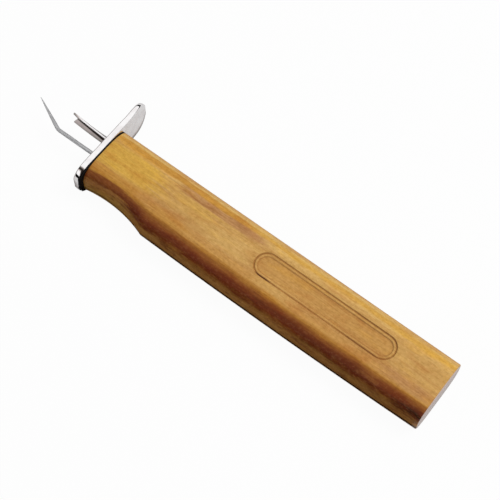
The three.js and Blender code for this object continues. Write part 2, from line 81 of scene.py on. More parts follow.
# Places and sizes from the frame
HANDLE_LOW, HANDLE_HIGH = box_mm("handle")
PLATE_LOW, PLATE_HIGH = box_mm("thumb_plate")
PAD_LOW, PAD_HIGH = box_mm("stop_pad")
FORK_LOW, FORK_HIGH = box_mm("knotting_fork")
AWL_LOW = box_mm("awl")[0]
BUSH_LOW, BUSH_HIGH = box_mm("guide_bush")
FERRULE_LOW, FERRULE_HIGH = box_mm("awl_ferrule")
SPRING_LOW, SPRING_HIGH = box_mm("return_spring")
ROD_LOW, ROD_HIGH = box_mm("guide_rod")
WASHER_LOW, WASHER_HIGH = box_mm("spring_washer")
HEAD_Y = HANDLE_HIGH.y
BUTT_Y = HANDLE_LOW.y
THICKNESS = HANDLE_HIGH.z
THUMB_SIDE = HANDLE_HIGH.x
LENGTH = HEAD_Y - BUTT_Y
MID_Z = THICKNESS / 2
POST_X = (BUSH_LOW.x + BUSH_HIGH.x) / 2
AWL_X = (FERRULE_LOW.x + FERRULE_HIGH.x) / 2
BUSH_RADIUS = (BUSH_HIGH.x - BUSH_LOW.x) / 2
FERRULE_RADIUS = (FERRULE_HIGH.x - FERRULE_LOW.x) / 2
SPRING_RADIUS = (WASHER_HIGH.z - WASHER_LOW.z) / 2
ROD_RADIUS = (ROD_HIGH.z - ROD_LOW.z) / 2

# Handle
SECTION_POWER = 3.1
BACK_FLAT_DEPTH = 0.12
HALF_HEIGHT = (THICKNESS + BACK_FLAT_DEPTH) / 2
FINGER_SIDE_BOW = 0.8
SCOOP_DEPTH = 2.3
SCOOP_RADIUS = 40
SCOOP_FROM_HEAD = 9
HEAD_EASE = 0.08
BUTT_EASE = 0.35
FIT_CLEARANCE = 0.1
SPRING_BORE_CLEARANCE = 0.25
SPRING_BORE_DEPTH = 45
AWL_BORE_DEPTH = 22.1
AWL_BORE_RADIUS = 0.7

# Recess in the front face
RECESS_LENGTH = 47.4
RECESS_WIDTH = 7.7
RECESS_DEPTH = 0.5
RECESS_X = 0.85
RECESS_FROM_BUTT = 15.8
RECESS_MARGIN = 1.1

# Thumb plate and tongue
PLATE_THICKNESS = 2
PLATE_EDGE_RADIUS = 0.7
PLATE_EDGE_SHARE = 0.9
PLATE_CORNER_LENGTH = 5.4
PLATE_END_FLAT = 3.6
TONGUE_START = 0.9
TONGUE_LENGTH = 10
TONGUE_CURL_RADIUS = 36
TONGUE_TIP_THICKNESS = 1.6
TONGUE_TIP_LENGTH = 5.8
TONGUE_TIP_FLAT = 2.2
AWL_HOLE_RADIUS = 0.95
DRILL_REACH = 50
PLATE_STRAIGHT_END = THUMB_SIDE + TONGUE_START
PLATE_RIGHT = PLATE_STRAIGHT_END + TONGUE_LENGTH
PLATE_LEFT = PLATE_LOW.x
PLATE_UNDERSIDE = PLATE_LOW.y
PLATE_WIDTH = PLATE_HIGH.z - PLATE_LOW.z
PLATE_MID_Z = (PLATE_HIGH.z + PLATE_LOW.z) / 2

# Pad
PAD_INSET = 0.25
PAD_EASE = 0.1

# Fork
FORK_SHEET = 0.6
FORK_FRONT_FOOT_DEPTH = 1.8
FORK_BACK_FOOT_DEPTH = 1.95
FORK_TOP_DEPTH = 1.14
FORK_FOOT_WIDTH = 4.9
FORK_TOP_WIDTH = 6.2
FORK_NOTCH_DEPTH = 1.3
FORK_INNER_BEND = 0.2
FORK_FLARE_POWER = 2
FORK_NOTCH_POWER = 6
FORK_HEIGHT = 14.8
FORK_BACK_RISE = 0.6
FORK_TIP_DROP = 0.3
FORK_EDGE_RADIUS = 0.14
FORK_TOP_EASE = 0.12

# Awl
AWL_RADIUS = 0.6
AWL_BEND_HEIGHT = 18.1
AWL_BEND_RADIUS = 3
AWL_TIP_HEIGHT = 29.5
AWL_TIP_REACH = 5.3
AWL_POINT_RADIUS = 0.08
AWL_TAPER_POWER = 1.4

# Rod, bush, ferrule, spring, washer and clip
ROD_SHOULDER = 0.5
ROD_GROOVE_DEPTH = 0.4
ROD_END_LENGTH = 0.8
ROD_CHAMFER = 0.3
SPIGOT_CHAMFER = 0.2
SPIGOT_CHAMFER_LENGTH = 0.1
RUNNING_CLEARANCE = 0.07
CLIP_MOUTH_DEGREES = 80
CLIP_EASE = 0.05
WASHER_EASE = 0.06
BUSH_EASE = 0.15
FERRULE_EASE = 0.1
SPRING_WIRE = 0.6
SPRING_COILS = 16

# Fineness of the meshes: within how many metres points are merged, and counts of sides and steps
MERGE_WITHIN = 1e-7
HANDLE_SIDES = 168
SECTION_SAMPLES = 4001
HANDLE_END_STEPS = 4
PAD_SIDES = 120
SCOOP_STATIONS = 30
BODY_STATIONS = 123
PLATE_EDGE_STEPS = 9
PLATE_END_STEPS = 6
PLATE_STATIONS = 118
END_STATIONS = 24
PAD_STATIONS = 22
FORK_STATIONS = 44
FORK_CORNER_STEPS = 3
FLANGE_STEPS = 14
BEND_STEPS = 12
SHANK_STATIONS = 11
TAPER_STEPS = 26
AWL_SIDES = 36
BORE_SIDES = 48
TURNED_SIDES = 64
WIRE_SIDES = 10
COIL_STEPS = 28

# Photo camera
CAMERA_PLACE = Vector((-134.25, -91.29, 369.46))
CAMERA_AIM = Vector((4.08, 8.3, 6.5))
CAMERA_ROLL = math.radians(1.84)
CAMERA_LENS = 100.73
SENSOR_WIDTH = 36

# Light
KEY_PLACE = Vector((260, -300, 720))
KEY_SIZE = 420
KEY_WATTS = 5.2
FILL_STRENGTH = 0.42
FLOOR_SIZE = 6000
FLOOR_COLOUR = 0.4
FLOOR_WHITE = 1.03
FLOOR_WHITE_SHARE = 0.93
FLOOR_MIRROR_SHARE = 0.5

# Cards that only reflections show: three corners of each, in millimetres
BLACK_CARDS = [
    ((-300, -58, 0.2), (12, -58, 0.2), (-300, 60.5, 0.2)),
    ((-260, -400, 0), (-260, 400, 0), (-260, -400, 110)),
    ((260, -400, 0), (260, 400, 0), (260, -400, 80)),
    ((-260, 360, 0), (260, 360, 0), (-260, 360, 60)),
    ((-260, -300, 0), (260, -300, 0), (-260, -300, 52)),
]
GREY_CARDS = [
    ((-80, 60.5, 0.2), (-11, 60.5, 0.2), (-80, 70, 0.2)),
    ((12, 30, 0.2), (80, 30, 0.2), (12, 75, 0.2)),
]
BLACK_CARD_COLOUR = 0.01
GREY_CARD_COLOUR = 0.66


def add_object(name, data):
    added = bpy.data.objects.new(name, data)
    bpy.context.scene.collection.objects.link(added)
    return added


def closed_mesh(name, points, face_groups, marks):
    """A mesh in metres whose faces point out.

    Each group of faces has the material of the same number, and marks are values at the points.
    """
    mesh = bpy.data.meshes.new(name)
    faces = [face for group in face_groups for face in group]
    mesh.from_pydata([Vector(point) * MM for point in points], [], faces)
    numbers = [number for number, group in enumerate(face_groups) for _ in group]
    mesh.polygons.foreach_set("material_index", numbers)
    for mark, values in marks.items():
        mesh.attributes.new(mark, "FLOAT", "POINT").data.foreach_set("value", values)
    shape = bmesh.new()
    shape.from_mesh(mesh)
    bmesh.ops.remove_doubles(shape, verts=shape.verts, dist=MERGE_WITHIN)
    bmesh.ops.recalc_face_normals(shape, faces=shape.faces)
    shape.to_mesh(mesh)
    shape.free()
    return mesh


def mesh_piece(name, points, face_groups, materials, holes=(), **marks):
    """A piece of the scene, with round holes along Y through it, each of a place x and a radius."""
    node, body, slot, sharp_degrees = PIECES[name]
    mesh = closed_mesh(name, points, face_groups, marks)
    for material in materials:
        mesh.materials.append(material)
    piece = add_object(name, mesh)
    for x, radius in holes:
        drill(piece, x, radius)
    piece.data.shade_smooth()
    piece.data.set_sharp_from_angle(angle=math.radians(sharp_degrees))
    if body is not None:
        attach(piece, body)
    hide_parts(node)
    return piece


def drill(piece, x, radius):
    """Cuts a round hole along Y through a piece."""
    points = []
    for y in (HEAD_Y - DRILL_REACH, HEAD_Y + DRILL_REACH):
        points += hole_loop(x, radius, TURNED_SIDES, y)
    cutter = add_object("cutter", closed_mesh("cutter", points, [tube_faces(TURNED_SIDES, 2)], {}))
    change = piece.modifiers.new("drill", "BOOLEAN")
    change.operation = "DIFFERENCE"
    change.solver = "EXACT"
    change.object = cutter
    bpy.context.view_layer.update()
    evaluated = piece.evaluated_get(bpy.context.evaluated_depsgraph_get())
    drilled = bpy.data.meshes.new_from_object(evaluated)
    piece.modifiers.clear()
    piece.data = drilled
    bpy.data.objects.remove(cutter)


def smoothstep(value, low, high):
    share = min(max((value - low) / (high - low), 0), 1)
    return share * share * (3 - 2 * share)


def mix(low, high, share):
    return low + (high - low) * share


def mix_points(start, end, share):
    return tuple(mix(low, high, share) for low, high in zip(start, end))


def full_turn(steps):
    return [i / steps * 2 * math.pi for i in range(steps)]


def quarter_turn(steps):
    """How far in from each of two sides a rounded corner's points lie, from (0, 1) to (1, 0)."""
    angles = [i / steps * math.pi / 2 for i in range(steps + 1)]
    return [(1 - math.cos(angle), 1 - math.sin(angle)) for angle in angles]


def ring_faces(count, rings, start=0):
    """Quads between successive rings of points, numbered ring by ring."""
    faces = []
    for ring in range(rings - 1):
        for side in range(count):
            a = start + ring * count + side
            b = start + ring * count + (side + 1) % count
            faces.append((a, b, b + count, a + count))
    return faces


def ring_cap(count, ring, start=0):
    """One face over a whole ring of points."""
    return tuple(range(start + ring * count, start + (ring + 1) * count))


def tube_faces(count, rings):
    """The quads of a tube of rings, and a face over each end."""
    return [*ring_faces(count, rings), ring_cap(count, 0), ring_cap(count, rings - 1)]


# Handle

def scoop_depth(from_head):
    along = from_head - SCOOP_FROM_HEAD
    if abs(along) >= SCOOP_RADIUS:
        return 0
    return max(0, SCOOP_DEPTH - SCOOP_RADIUS + math.sqrt(SCOOP_RADIUS ** 2 - along ** 2))


def half_width(x, y):
    """Half width of the handle on the side of its middle on which x lies."""
    if x > 0:
        return THUMB_SIDE
    from_head = HEAD_Y - y
    bow = FINGER_SIDE_BOW * (2 * from_head / LENGTH - 1) ** 2
    return THUMB_SIDE - bow - scoop_depth(from_head)


def superellipse(angle):
    power = 2 / SECTION_POWER
    x = math.copysign(abs(math.cos(angle)) ** power, math.cos(angle))
    z = math.copysign(abs(math.sin(angle)) ** power, math.sin(angle))
    return x, z


def skin_point(angle, y, inset=0):
    """A point of the handle's surface, drawn in by an inset."""
    x, z = superellipse(angle)
    height = THICKNESS - HALF_HEIGHT + z * (HALF_HEIGHT - inset)
    return (max(x * (half_width(x, y) - inset), HANDLE_LOW.x), y, max(inset, height))


def front_height(x, y):
    """Height of the front face over a point."""
    share = 1 - (abs(x) / half_width(x, y)) ** SECTION_POWER
    return THICKNESS - HALF_HEIGHT + HALF_HEIGHT * share ** (1 / SECTION_POWER)


def turn_at(x, y):
    """The angle round the section of a point on the front face, as a share of a whole turn."""
    cosine = math.copysign((abs(x) / half_width(x, y)) ** (SECTION_POWER / 2), x)
    return math.acos(min(max(cosine, -1), 1)) / (2 * math.pi)


def even_angles(count):
    """Angles that lie at even distances round the handle's section."""
    fine = np.linspace(0, 2 * math.pi, SECTION_SAMPLES)
    points = np.array([superellipse(angle) for angle in fine])
    steps = np.diff(points, axis=0) * (THUMB_SIDE, MID_Z)
    length = np.concatenate([[0], np.cumsum(np.hypot(*steps.T))])
    return np.interp((np.arange(count) + 0.5) / count * length[-1], length, fine)


def handle_stations():
    """Places along the handle at which it has a section, from the head to the butt."""
    knuckle = SCOOP_FROM_HEAD + math.sqrt(SCOOP_RADIUS ** 2 - (SCOOP_RADIUS - SCOOP_DEPTH) ** 2)
    scoop = np.linspace(HEAD_EASE, knuckle, SCOOP_STATIONS)
    body = np.linspace(knuckle, LENGTH - BUTT_EASE, BODY_STATIONS + 1)[1:]
    return [HEAD_Y - from_head for from_head in (*scoop, *body)]


def end_turn(end_y, ease, direction):
    """Insets and places of the rounded edge at an end, from the side to the end face."""
    turn = quarter_turn(HANDLE_END_STEPS)[1:]
    return [(ease * inset, end_y - direction * ease * past) for inset, past in turn]


# The recess's profile: distance outside its outline, how far down to the floor, and how dark its
# painted shade is. A groove and a soft second line run round inside the outline, with a low ridge
# between them.
RECESS_PROFILE = [
    (0.6, 0, 0),
    (0.3, 0, 0),
    (0.2, 0.04, 0.2),
    (0.1, 0.3, 0.65),
    (-0.02, 0.85, 1),
    (-0.17, 0.85, 1),
    (-0.3, 0.55, 0.6),
    (-0.42, 0.42, 0.1),
    (-0.54, 0.38, 0),
    (-0.8, 0.42, 0),
    (-0.95, 0.6, 0.35),
    (-1.08, 0.95, 0.65),
    (-1.22, 1, 0.55),
    (-1.4, 1, 0.1),
    (-1.8, 1, 0),
    (-2.6, 1, 0),
    (-RECESS_WIDTH / 2, 1, 0),
]


def recess_rings(loop):
    """Rings from a loop of points on the front face into the recess, how dark their painted shade is and
    how sunk.
    """
    middle_y = BUTT_Y + RECESS_FROM_BUTT + RECESS_LENGTH / 2
    straight = (RECESS_LENGTH - RECESS_WIDTH) / 2
    floor = THICKNESS - RECESS_DEPTH
    rays = []
    for x, y, _ in loop:
        axis_y = middle_y + min(max(y - middle_y, -straight), straight)
        away = Vector((x - RECESS_X, y - axis_y))
        rays.append((axis_y, away.normalized()))
    rings = []
    for outside, down, groove_shade in RECESS_PROFILE:
        ring = []
        for axis_y, direction in rays:
            x, y = Vector((RECESS_X, axis_y)) + direction * (RECESS_WIDTH / 2 + outside)
            ring.append((x, y, mix(front_height(x, y), floor, down)))
        rings.append((ring, groove_shade, down))
    return rings


def hole_loop(x, radius, sides, y):
    return [(x + radius * math.cos(angle), y, MID_Z + radius * math.sin(angle))
            for angle in full_turn(sides)]


def handle_skin():
    """The handle's outside with its recess: points, faces and the marks turn, groove (painted shade) and
    sunk.
    """
    angles = even_angles(HANDLE_SIDES)
    rows = [
        *reversed(end_turn(HEAD_Y, HEAD_EASE, 1)),
        *((0, y) for y in handle_stations()),
        *end_turn(BUTT_Y, BUTT_EASE, -1),
    ]
    points = [skin_point(angle, y, inset) for inset, y in rows for angle in angles]
    marks = [(angle / (2 * math.pi), 0, 0) for _ in rows for angle in angles]

    # The block of quads round the recess is left open, and the recess is fitted into it
    half = RECESS_WIDTH / 2 + RECESS_MARGIN
    low_y = BUTT_Y + RECESS_FROM_BUTT - RECESS_MARGIN
    high_y = BUTT_Y + RECESS_FROM_BUTT + RECESS_LENGTH + RECESS_MARGIN
    columns = [
        i for i, angle in enumerate(angles)
        if angle < math.pi and abs(skin_point(angle, 0)[0] - RECESS_X) < half
    ]
    lines = [j for j, (_, y) in enumerate(rows) if low_y < y < high_y]
    first, last = columns[0], columns[-1]
    top, bottom = lines[0], lines[-1]
    faces = []
    for face in ring_faces(HANDLE_SIDES, len(rows)):
        row, column = divmod(face[0], HANDLE_SIDES)
        if not (top <= row < bottom and first <= column < last):
            faces.append(face)
    loop = [top * HANDLE_SIDES + i for i in range(first, last)]
    loop += [j * HANDLE_SIDES + last for j in range(top, bottom)]
    loop += [bottom * HANDLE_SIDES + i for i in range(last, first, -1)]
    loop += [j * HANDLE_SIDES + first for j in range(bottom, top, -1)]
    outer = loop
    for ring, groove_shade, down in recess_rings([points[index] for index in loop]):
        inner = list(range(len(points), len(points) + len(ring)))
        points += ring
        marks += [(turn_at(x, y), groove_shade, down) for x, y, _ in ring]
        for k in range(len(ring)):
            following = (k + 1) % len(ring)
            faces.append((outer[k], outer[following], inner[following], inner[k]))
        outer = inner
    faces_at_butt = [ring_cap(HANDLE_SIDES, len(rows) - 1)]
    return points, marks, faces, faces_at_butt


def make_handle(wood, end_grain):
    """The wooden handle, with its recess and the stepped bores in its head end."""
    points, marks, faces, end_faces = handle_skin()
    bores = [
        (POST_X, BUSH_RADIUS + FIT_CLEARANCE, BUSH_HIGH.y - BUSH_LOW.y,
         SPRING_RADIUS + SPRING_BORE_CLEARANCE, SPRING_BORE_DEPTH),
        (AWL_X, FERRULE_RADIUS + FIT_CLEARANCE, FERRULE_HIGH.y - FERRULE_LOW.y,
         AWL_BORE_RADIUS, AWL_BORE_DEPTH),
    ]
    edges = [list(range(HANDLE_SIDES))]
    for x, wide, wide_depth, narrow, narrow_depth in bores:
        profile = [(wide, 0), (wide, wide_depth), (narrow, wide_depth), (narrow, narrow_depth)]
        start = len(points)
        for radius, depth in profile:
            points += hole_loop(x, radius, BORE_SIDES, HEAD_Y - depth)
        end_faces += ring_faces(BORE_SIDES, len(profile), start)
        end_faces.append(ring_cap(BORE_SIDES, len(profile) - 1, start))
        edges.append(list(range(start, start + BORE_SIDES)))

    # The head face, between the handle's edge and the mouths of the bores. Marks don't show on it.
    corners = [index for edge in edges for index in edge]
    flat = [[Vector((points[index][0], points[index][2], 0)) for index in edge] for edge in edges]
    end_faces += [tuple(corners[k] for k in face) for face in tessellate_polygon(flat)]
    marks += [(0, 0, 0)] * (len(points) - len(marks))
    turn, groove, sunk = zip(*marks)
    mesh_piece("wood_handle", points, [faces, end_faces], [wood, end_grain],
               turn=turn, groove=groove, sunk=sunk)


# Thumb plate

# Painted shade and painted reflections on the chrome, where 0 is bright and 1 is black: the painted
# shadow inside the fork at its top and at its foot, the painted dark reflections in strips along free
# edges, the painted reflection line along the plate's lower back edge, and the fork's back free edge
# at its foot and at its top
OPEN_SHADE = 0.35
INNER_FOOT_SHADE = 0.5
STRIP_SHADE = 0.65
FAR_LINE_SHADE = 0.85
BACK_EDGE_SHADES = (0.8, 0.5)

# Where the plate's painted shade and painted reflections begin and end. Lift is the sine of the
# angle round the plate's edge, past is the distance from the finger end, and height is over the
# underside.
FAR_LINE_WIDTH = 1.9
STRIP_LIFT_IN = (0.5, 0.75)
STRIP_LIFT_OUT = (0.97, 1)
FAR_LINE_LIFT = (0.4, 0.8)
END_PAST = (3.2, 3.6)
END_SLOPE = 0.36
END_SOFT = 0.3
PATCH_PAST = (2.2, 2.7)
PATCH_HEIGHT = (0.9, 1.3)
PATCH_LIFT = (0.8, 0.95)


def turned_width(width, flat, share):
    """The width at a share of a turn, which grows from a flat end as a quarter of an ellipse."""
    turn = min(max(1 - share, 0), 1)
    return flat + (width - flat) * math.sqrt(1 - turn ** 2)


def plate_half_width(along, inset):
    from_left = (along - PLATE_LEFT) / PLATE_CORNER_LENGTH
    from_tip = (PLATE_RIGHT - along) / TONGUE_TIP_LENGTH
    left = turned_width(PLATE_WIDTH, PLATE_END_FLAT, from_left)
    tip = turned_width(PLATE_WIDTH, TONGUE_TIP_FLAT, from_tip)
    return min(left, tip) / 2 - inset


def plate_thickness(along):
    share = max(0, (along - PLATE_STRAIGHT_END) / TONGUE_LENGTH)
    return mix(PLATE_THICKNESS, TONGUE_TIP_THICKNESS, share)


def plate_point(along, height, z):
    """A point by its distance along the plate's middle line and its height over the underside."""
    if along <= PLATE_STRAIGHT_END:
        return (along, PLATE_UNDERSIDE + height, PLATE_MID_Z + z)
    angle = (along - PLATE_STRAIGHT_END) / TONGUE_CURL_RADIUS
    radius = TONGUE_CURL_RADIUS - height
    x = min(PLATE_STRAIGHT_END + radius * math.sin(angle), PLATE_HIGH.x)
    y = PLATE_UNDERSIDE + TONGUE_CURL_RADIUS - radius * math.cos(angle)
    return (x, y, PLATE_MID_Z + z)


def plate_shade(along, height, turn, quarter):
    """How dark the painted reflections and painted shade make a point of the plate's edge. Turn is its
    angle round the section, from 0 at the front over a quarter turn at the top to three quarters at
    the underside."""
    past = along - PLATE_LEFT
    lift = math.sin(turn)
    # Painted reflections: a grey line along the upper edge, and a dark line along the lower back edge
    strip = STRIP_SHADE * smoothstep(lift, *STRIP_LIFT_IN) * (1 - smoothstep(lift, *STRIP_LIFT_OUT))
    far = FAR_LINE_SHADE * smoothstep(-lift, *FAR_LINE_LIFT) if quarter == 2 else 0
    # Painted shadow and dark reflection at the finger end: a wedge on the lower rounding and a patch
    # above it
    end = 1 - smoothstep(past, *END_PAST)
    reach = END_SLOPE * past
    under = end * (1 - smoothstep(height, reach - END_SOFT, reach))
    patch = end * smoothstep(past, *PATCH_PAST) * smoothstep(height, *PATCH_HEIGHT)
    patch *= 1 - smoothstep(lift, *PATCH_LIFT)
    return max(strip, far, under, patch)


def plate_section(along, inset):
    """A section across the plate, with rounded edges: its points and their painted shades."""
    half = plate_half_width(along, inset)
    thickness = plate_thickness(along)
    radius = min(PLATE_EDGE_RADIUS, (thickness / 2 - inset) * PLATE_EDGE_SHARE)
    corners = [
        (half - radius, thickness - inset - radius),
        (radius - half, thickness - inset - radius),
        (radius - half, inset + radius),
        (half - radius, inset + radius),
    ]
    ring = []
    for quarter, (z, height) in enumerate(corners):
        for i in range(PLATE_EDGE_STEPS + 1):
            angle = (quarter + i / PLATE_EDGE_STEPS) * math.pi / 2
            rise = height + radius * math.sin(angle)
            point = plate_point(along, rise, z + radius * math.cos(angle))
            ring.append((point, plate_shade(along, rise, angle, quarter)))
        if quarter == 2:
            ring.append((plate_point(along, inset, min(z + FAR_LINE_WIDTH, 0)), 0))
    return ring


def turn_stations(end, length, steps, inset):
    """Stations that crowd towards an end, where the outline turns, and lie further in than an inset.

    The length is negative at an end from which they run back.
    """
    shares = [share for share, _ in quarter_turn(steps)]
    return [end + length * share for share in shares if abs(length) * share > inset]


def make_plate(chrome):
    """The thumb plate with its tongue, and the holes for the awl and the rod's spigot."""
    ease = PLATE_EDGE_RADIUS / 2
    ends = [(ease * past, ease * inset) for past, inset in quarter_turn(PLATE_END_STEPS)[:-1]]
    left = turn_stations(PLATE_LEFT, PLATE_CORNER_LENGTH, END_STATIONS, ease)
    tip = turn_stations(PLATE_RIGHT, -TONGUE_TIP_LENGTH, END_STATIONS, ease)
    middle = np.linspace(left[-1], tip[-1], PLATE_STATIONS + 2)[1:-1]
    rings = [plate_section(PLATE_LEFT + past, inset) for past, inset in ends]
    rings += [plate_section(along, 0) for along in (*left, *middle, *reversed(tip))]
    rings += [plate_section(PLATE_RIGHT - past, inset) for past, inset in reversed(ends)]
    points, shades = zip(*(pair for ring in rings for pair in ring))
    faces = tube_faces(len(rings[0]), len(rings))
    holes = [(AWL_X, AWL_HOLE_RADIUS), (POST_X, ROD_RADIUS - ROD_SHOULDER + FIT_CLEARANCE)]
    mesh_piece("chrome_thumb_plate", points, [faces], [chrome], holes, shade=shades)


# Pad

def make_pad(rubber):
    """The black pad under the plate."""
    outline = []
    for angle in even_angles(PAD_SIDES):
        x, z = superellipse(angle)
        if x > 0:
            outline.append((x * (THUMB_SIDE - PAD_INSET), z * (PLATE_WIDTH / 2 - PAD_INSET)))
    outline.sort(key=lambda point: math.atan2(point[1], point[0]))
    stations = turn_stations(PLATE_LEFT, PLATE_CORNER_LENGTH, PAD_STATIONS, 2 * PAD_INSET)
    upper = [(along, plate_half_width(along, PAD_INSET)) for along in reversed(stations)]
    upper.append((PLATE_LEFT + PAD_INSET, plate_half_width(PLATE_LEFT, PAD_INSET)))
    outline += upper + [(x, -z) for x, z in reversed(upper)]
    low, high = PAD_LOW.y, PAD_HIGH.y
    rows = [(PAD_EASE, low), (0, low + PAD_EASE), (0, high - PAD_EASE), (PAD_EASE, high)]
    points = []
    for inset, y in rows:
        for x, z in outline:
            inward = Vector((-x, -z)).normalized() * inset
            points.append((x + inward.x, y, PLATE_MID_Z + z + inward.y))
    faces = tube_faces(len(outline), len(rows))
    holes = [(AWL_X, AWL_HOLE_RADIUS), (POST_X, ROD_RADIUS + FIT_CLEARANCE)]
    mesh_piece("rubber_stop_pad", points, [faces], [rubber], holes)


# Fork

def fork_line(width, front_depth, back_depth):
    """Middle line of the fork's sheet across one section, from the front free edge round the fold."""
    half = (width - FORK_SHEET) / 2
    fold_x = FORK_HIGH.x - FORK_SHEET / 2
    front = (fold_x - (front_depth - FORK_SHEET), half)
    back = (fold_x - (back_depth - FORK_SHEET), -half)
    front_turn = math.atan2(fold_x - front[0], half)
    back_turn = math.atan2(fold_x - back[0], half)
    radius = FORK_INNER_BEND + FORK_SHEET / 2
    bend = []
    for i in range(BEND_STEPS + 1):
        around = mix(front_turn, -back_turn, i / BEND_STEPS)
        bend.append((fold_x - radius * (1 - math.cos(around)), radius * math.sin(around)))
    shares = [i / FLANGE_STEPS for i in range(FLANGE_STEPS + 1)]
    front_flange = [mix_points(front, bend[0], share) for share in shares[:-1]]
    back_flange = [mix_points(bend[-1], back, share) for share in shares[1:]]
    return [Vector(point) for point in (*front_flange, *bend, *back_flange)]


# Where the painted black shadow on each flange's inside begins and ends, at the foot and at the
# top, as a share of the way from the fold to the free edge, and how soft its ends are
BLACK_STARTS = (0.22, -0.1)
FRONT_BLACK_ENDS = (0.7, 1.2)
BACK_BLACK_ENDS = (0.62, 0.08)
BACK_BLACK_POWER = 1.2
BLACK_START_SOFT = 0.06
BLACK_END_SOFT = (-0.08, 0.1)

# Where the fork's painted reflections begin and end: how far up the fork, or how far out from the fold
TOP_STRIP_UP = (0.82, 1)
EDGE_STRIP_UP = (0.6, 0.85)
FRONT_EDGE_UP = (0.7, 0.95)
FOLD_STRIP_OUT = (-0.4, -0.1)
INNER_EDGE_OUT = (0.5, 0.85)

# How far out the notched top begins to drop to its tips
TIP_DROP_OUT = (0.6, 1)


def inner_shade(out, share):
    """How dark the painted shadow inside the fork is. Out is 0 at the fold, 1 at the front free edge
    and -1 at the back one, and share is how far up the fork."""
    start = mix(*BLACK_STARTS, share)
    end = mix(*BACK_BLACK_ENDS, share ** BACK_BLACK_POWER) if out < 0 else mix(*FRONT_BLACK_ENDS, share)
    away = abs(out)
    black = smoothstep(away, start - BLACK_START_SOFT, start + BLACK_START_SOFT)
    black *= 1 - smoothstep(away, *(end + soft for soft in BLACK_END_SOFT))
    # Painted shade on the open inside, darker at the foot, and darker still towards the free edge
    painted_inside_shade = mix(INNER_FOOT_SHADE, OPEN_SHADE, share)
    return max(black, mix(painted_inside_shade, mix(*BACK_EDGE_SHADES, share), smoothstep(away, *INNER_EDGE_OUT)))


def fork_ring(share, drop, edge):
    """A closed section of the fork at a share of its height: its points and their painted shades.

    Drop lowers the section, and edge draws the sheet's faces in, for the rounded top.
    """
    flare = share ** FORK_FLARE_POWER
    width = mix(FORK_FOOT_WIDTH, FORK_TOP_WIDTH, flare)
    front_depth = mix(FORK_FRONT_FOOT_DEPTH, FORK_TOP_DEPTH, share)
    back_depth = mix(FORK_BACK_FOOT_DEPTH, FORK_TOP_DEPTH, flare)
    near_top = share ** FORK_NOTCH_POWER
    line = fork_line(width, front_depth, back_depth)
    half = FORK_SHEET / 2 - edge
    corner = min(FORK_EDGE_RADIUS, half)
    last = len(line) - 1
    # Painted reflections: a grey strip near the top, a grey line along the front flange's outside and the
    # fold lower down, and darker free edges
    top_strip = STRIP_SHADE * smoothstep(share, *TOP_STRIP_UP)
    edge_strip = 1 - smoothstep(share, *EDGE_STRIP_UP)
    front_edge = STRIP_SHADE * smoothstep(share, *FRONT_EDGE_UP)
    back_edge = mix(*BACK_EDGE_SHADES, share)
    edge_turn = quarter_turn(FORK_CORNER_STEPS)
    outside = []
    inside = []
    for index, middle in enumerate(line):
        along = (line[min(last, index + 1)] - line[max(0, index - 1)]).normalized()
        across = Vector((-along.y, along.x))
        out = min(max(middle.y * 2 / width, -1), 1)
        raised = FORK_BACK_RISE * max(0, -out) - FORK_NOTCH_DEPTH * (1 - abs(out))
        raised -= FORK_TIP_DROP * smoothstep(abs(out), *TIP_DROP_OUT) ** 2
        y = FORK_LOW.y + FORK_HEIGHT * share - drop + raised * near_top
        if index not in (0, last):
            fold_strip = STRIP_SHADE * edge_strip * smoothstep(out, *FOLD_STRIP_OUT)
            outside.append((middle + across * half, y, max(top_strip, fold_strip)))
            inside.append((middle - across * half, y, inner_shade(out, share)))
            continue
        at_front = index == 0
        outward = -along if at_front else along
        for inset, past in edge_turn[::-1] if at_front else edge_turn:
            place = middle - outward * corner * past
            side = across * (half - corner * inset)
            outer = max(top_strip, edge_strip) if past else top_strip
            outside.append((place + side, y, outer if at_front else back_edge))
            inside.append((place - side, y, front_edge if at_front else back_edge))
    both = (*outside, *reversed(inside))
    return [((place.x, y, MID_Z + place.y), shade) for place, y, shade in both]


def make_fork(chrome):
    """The folded knotting fork on the plate."""
    ease = FORK_TOP_EASE
    sections = [(i / FORK_STATIONS, 0, 0) for i in range(FORK_STATIONS)]
    sections += [(1, ease, 0), (1, 0.3 * ease, 0.3 * ease), (1, 0, ease)]
    rings = [fork_ring(*section) for section in sections]
    count = len(rings[0])
    points, shades = zip(*(pair for ring in rings for pair in ring))
    faces = ring_faces(count, len(rings))
    for start in (0, (len(rings) - 1) * count):
        for k in range(count // 2 - 1):
            faces.append((start + k, start + k + 1, start + count - 2 - k, start + count - 1 - k))
    mesh_piece("chrome_knotting_fork", points, [faces], [chrome], shade=shades)


# Awl

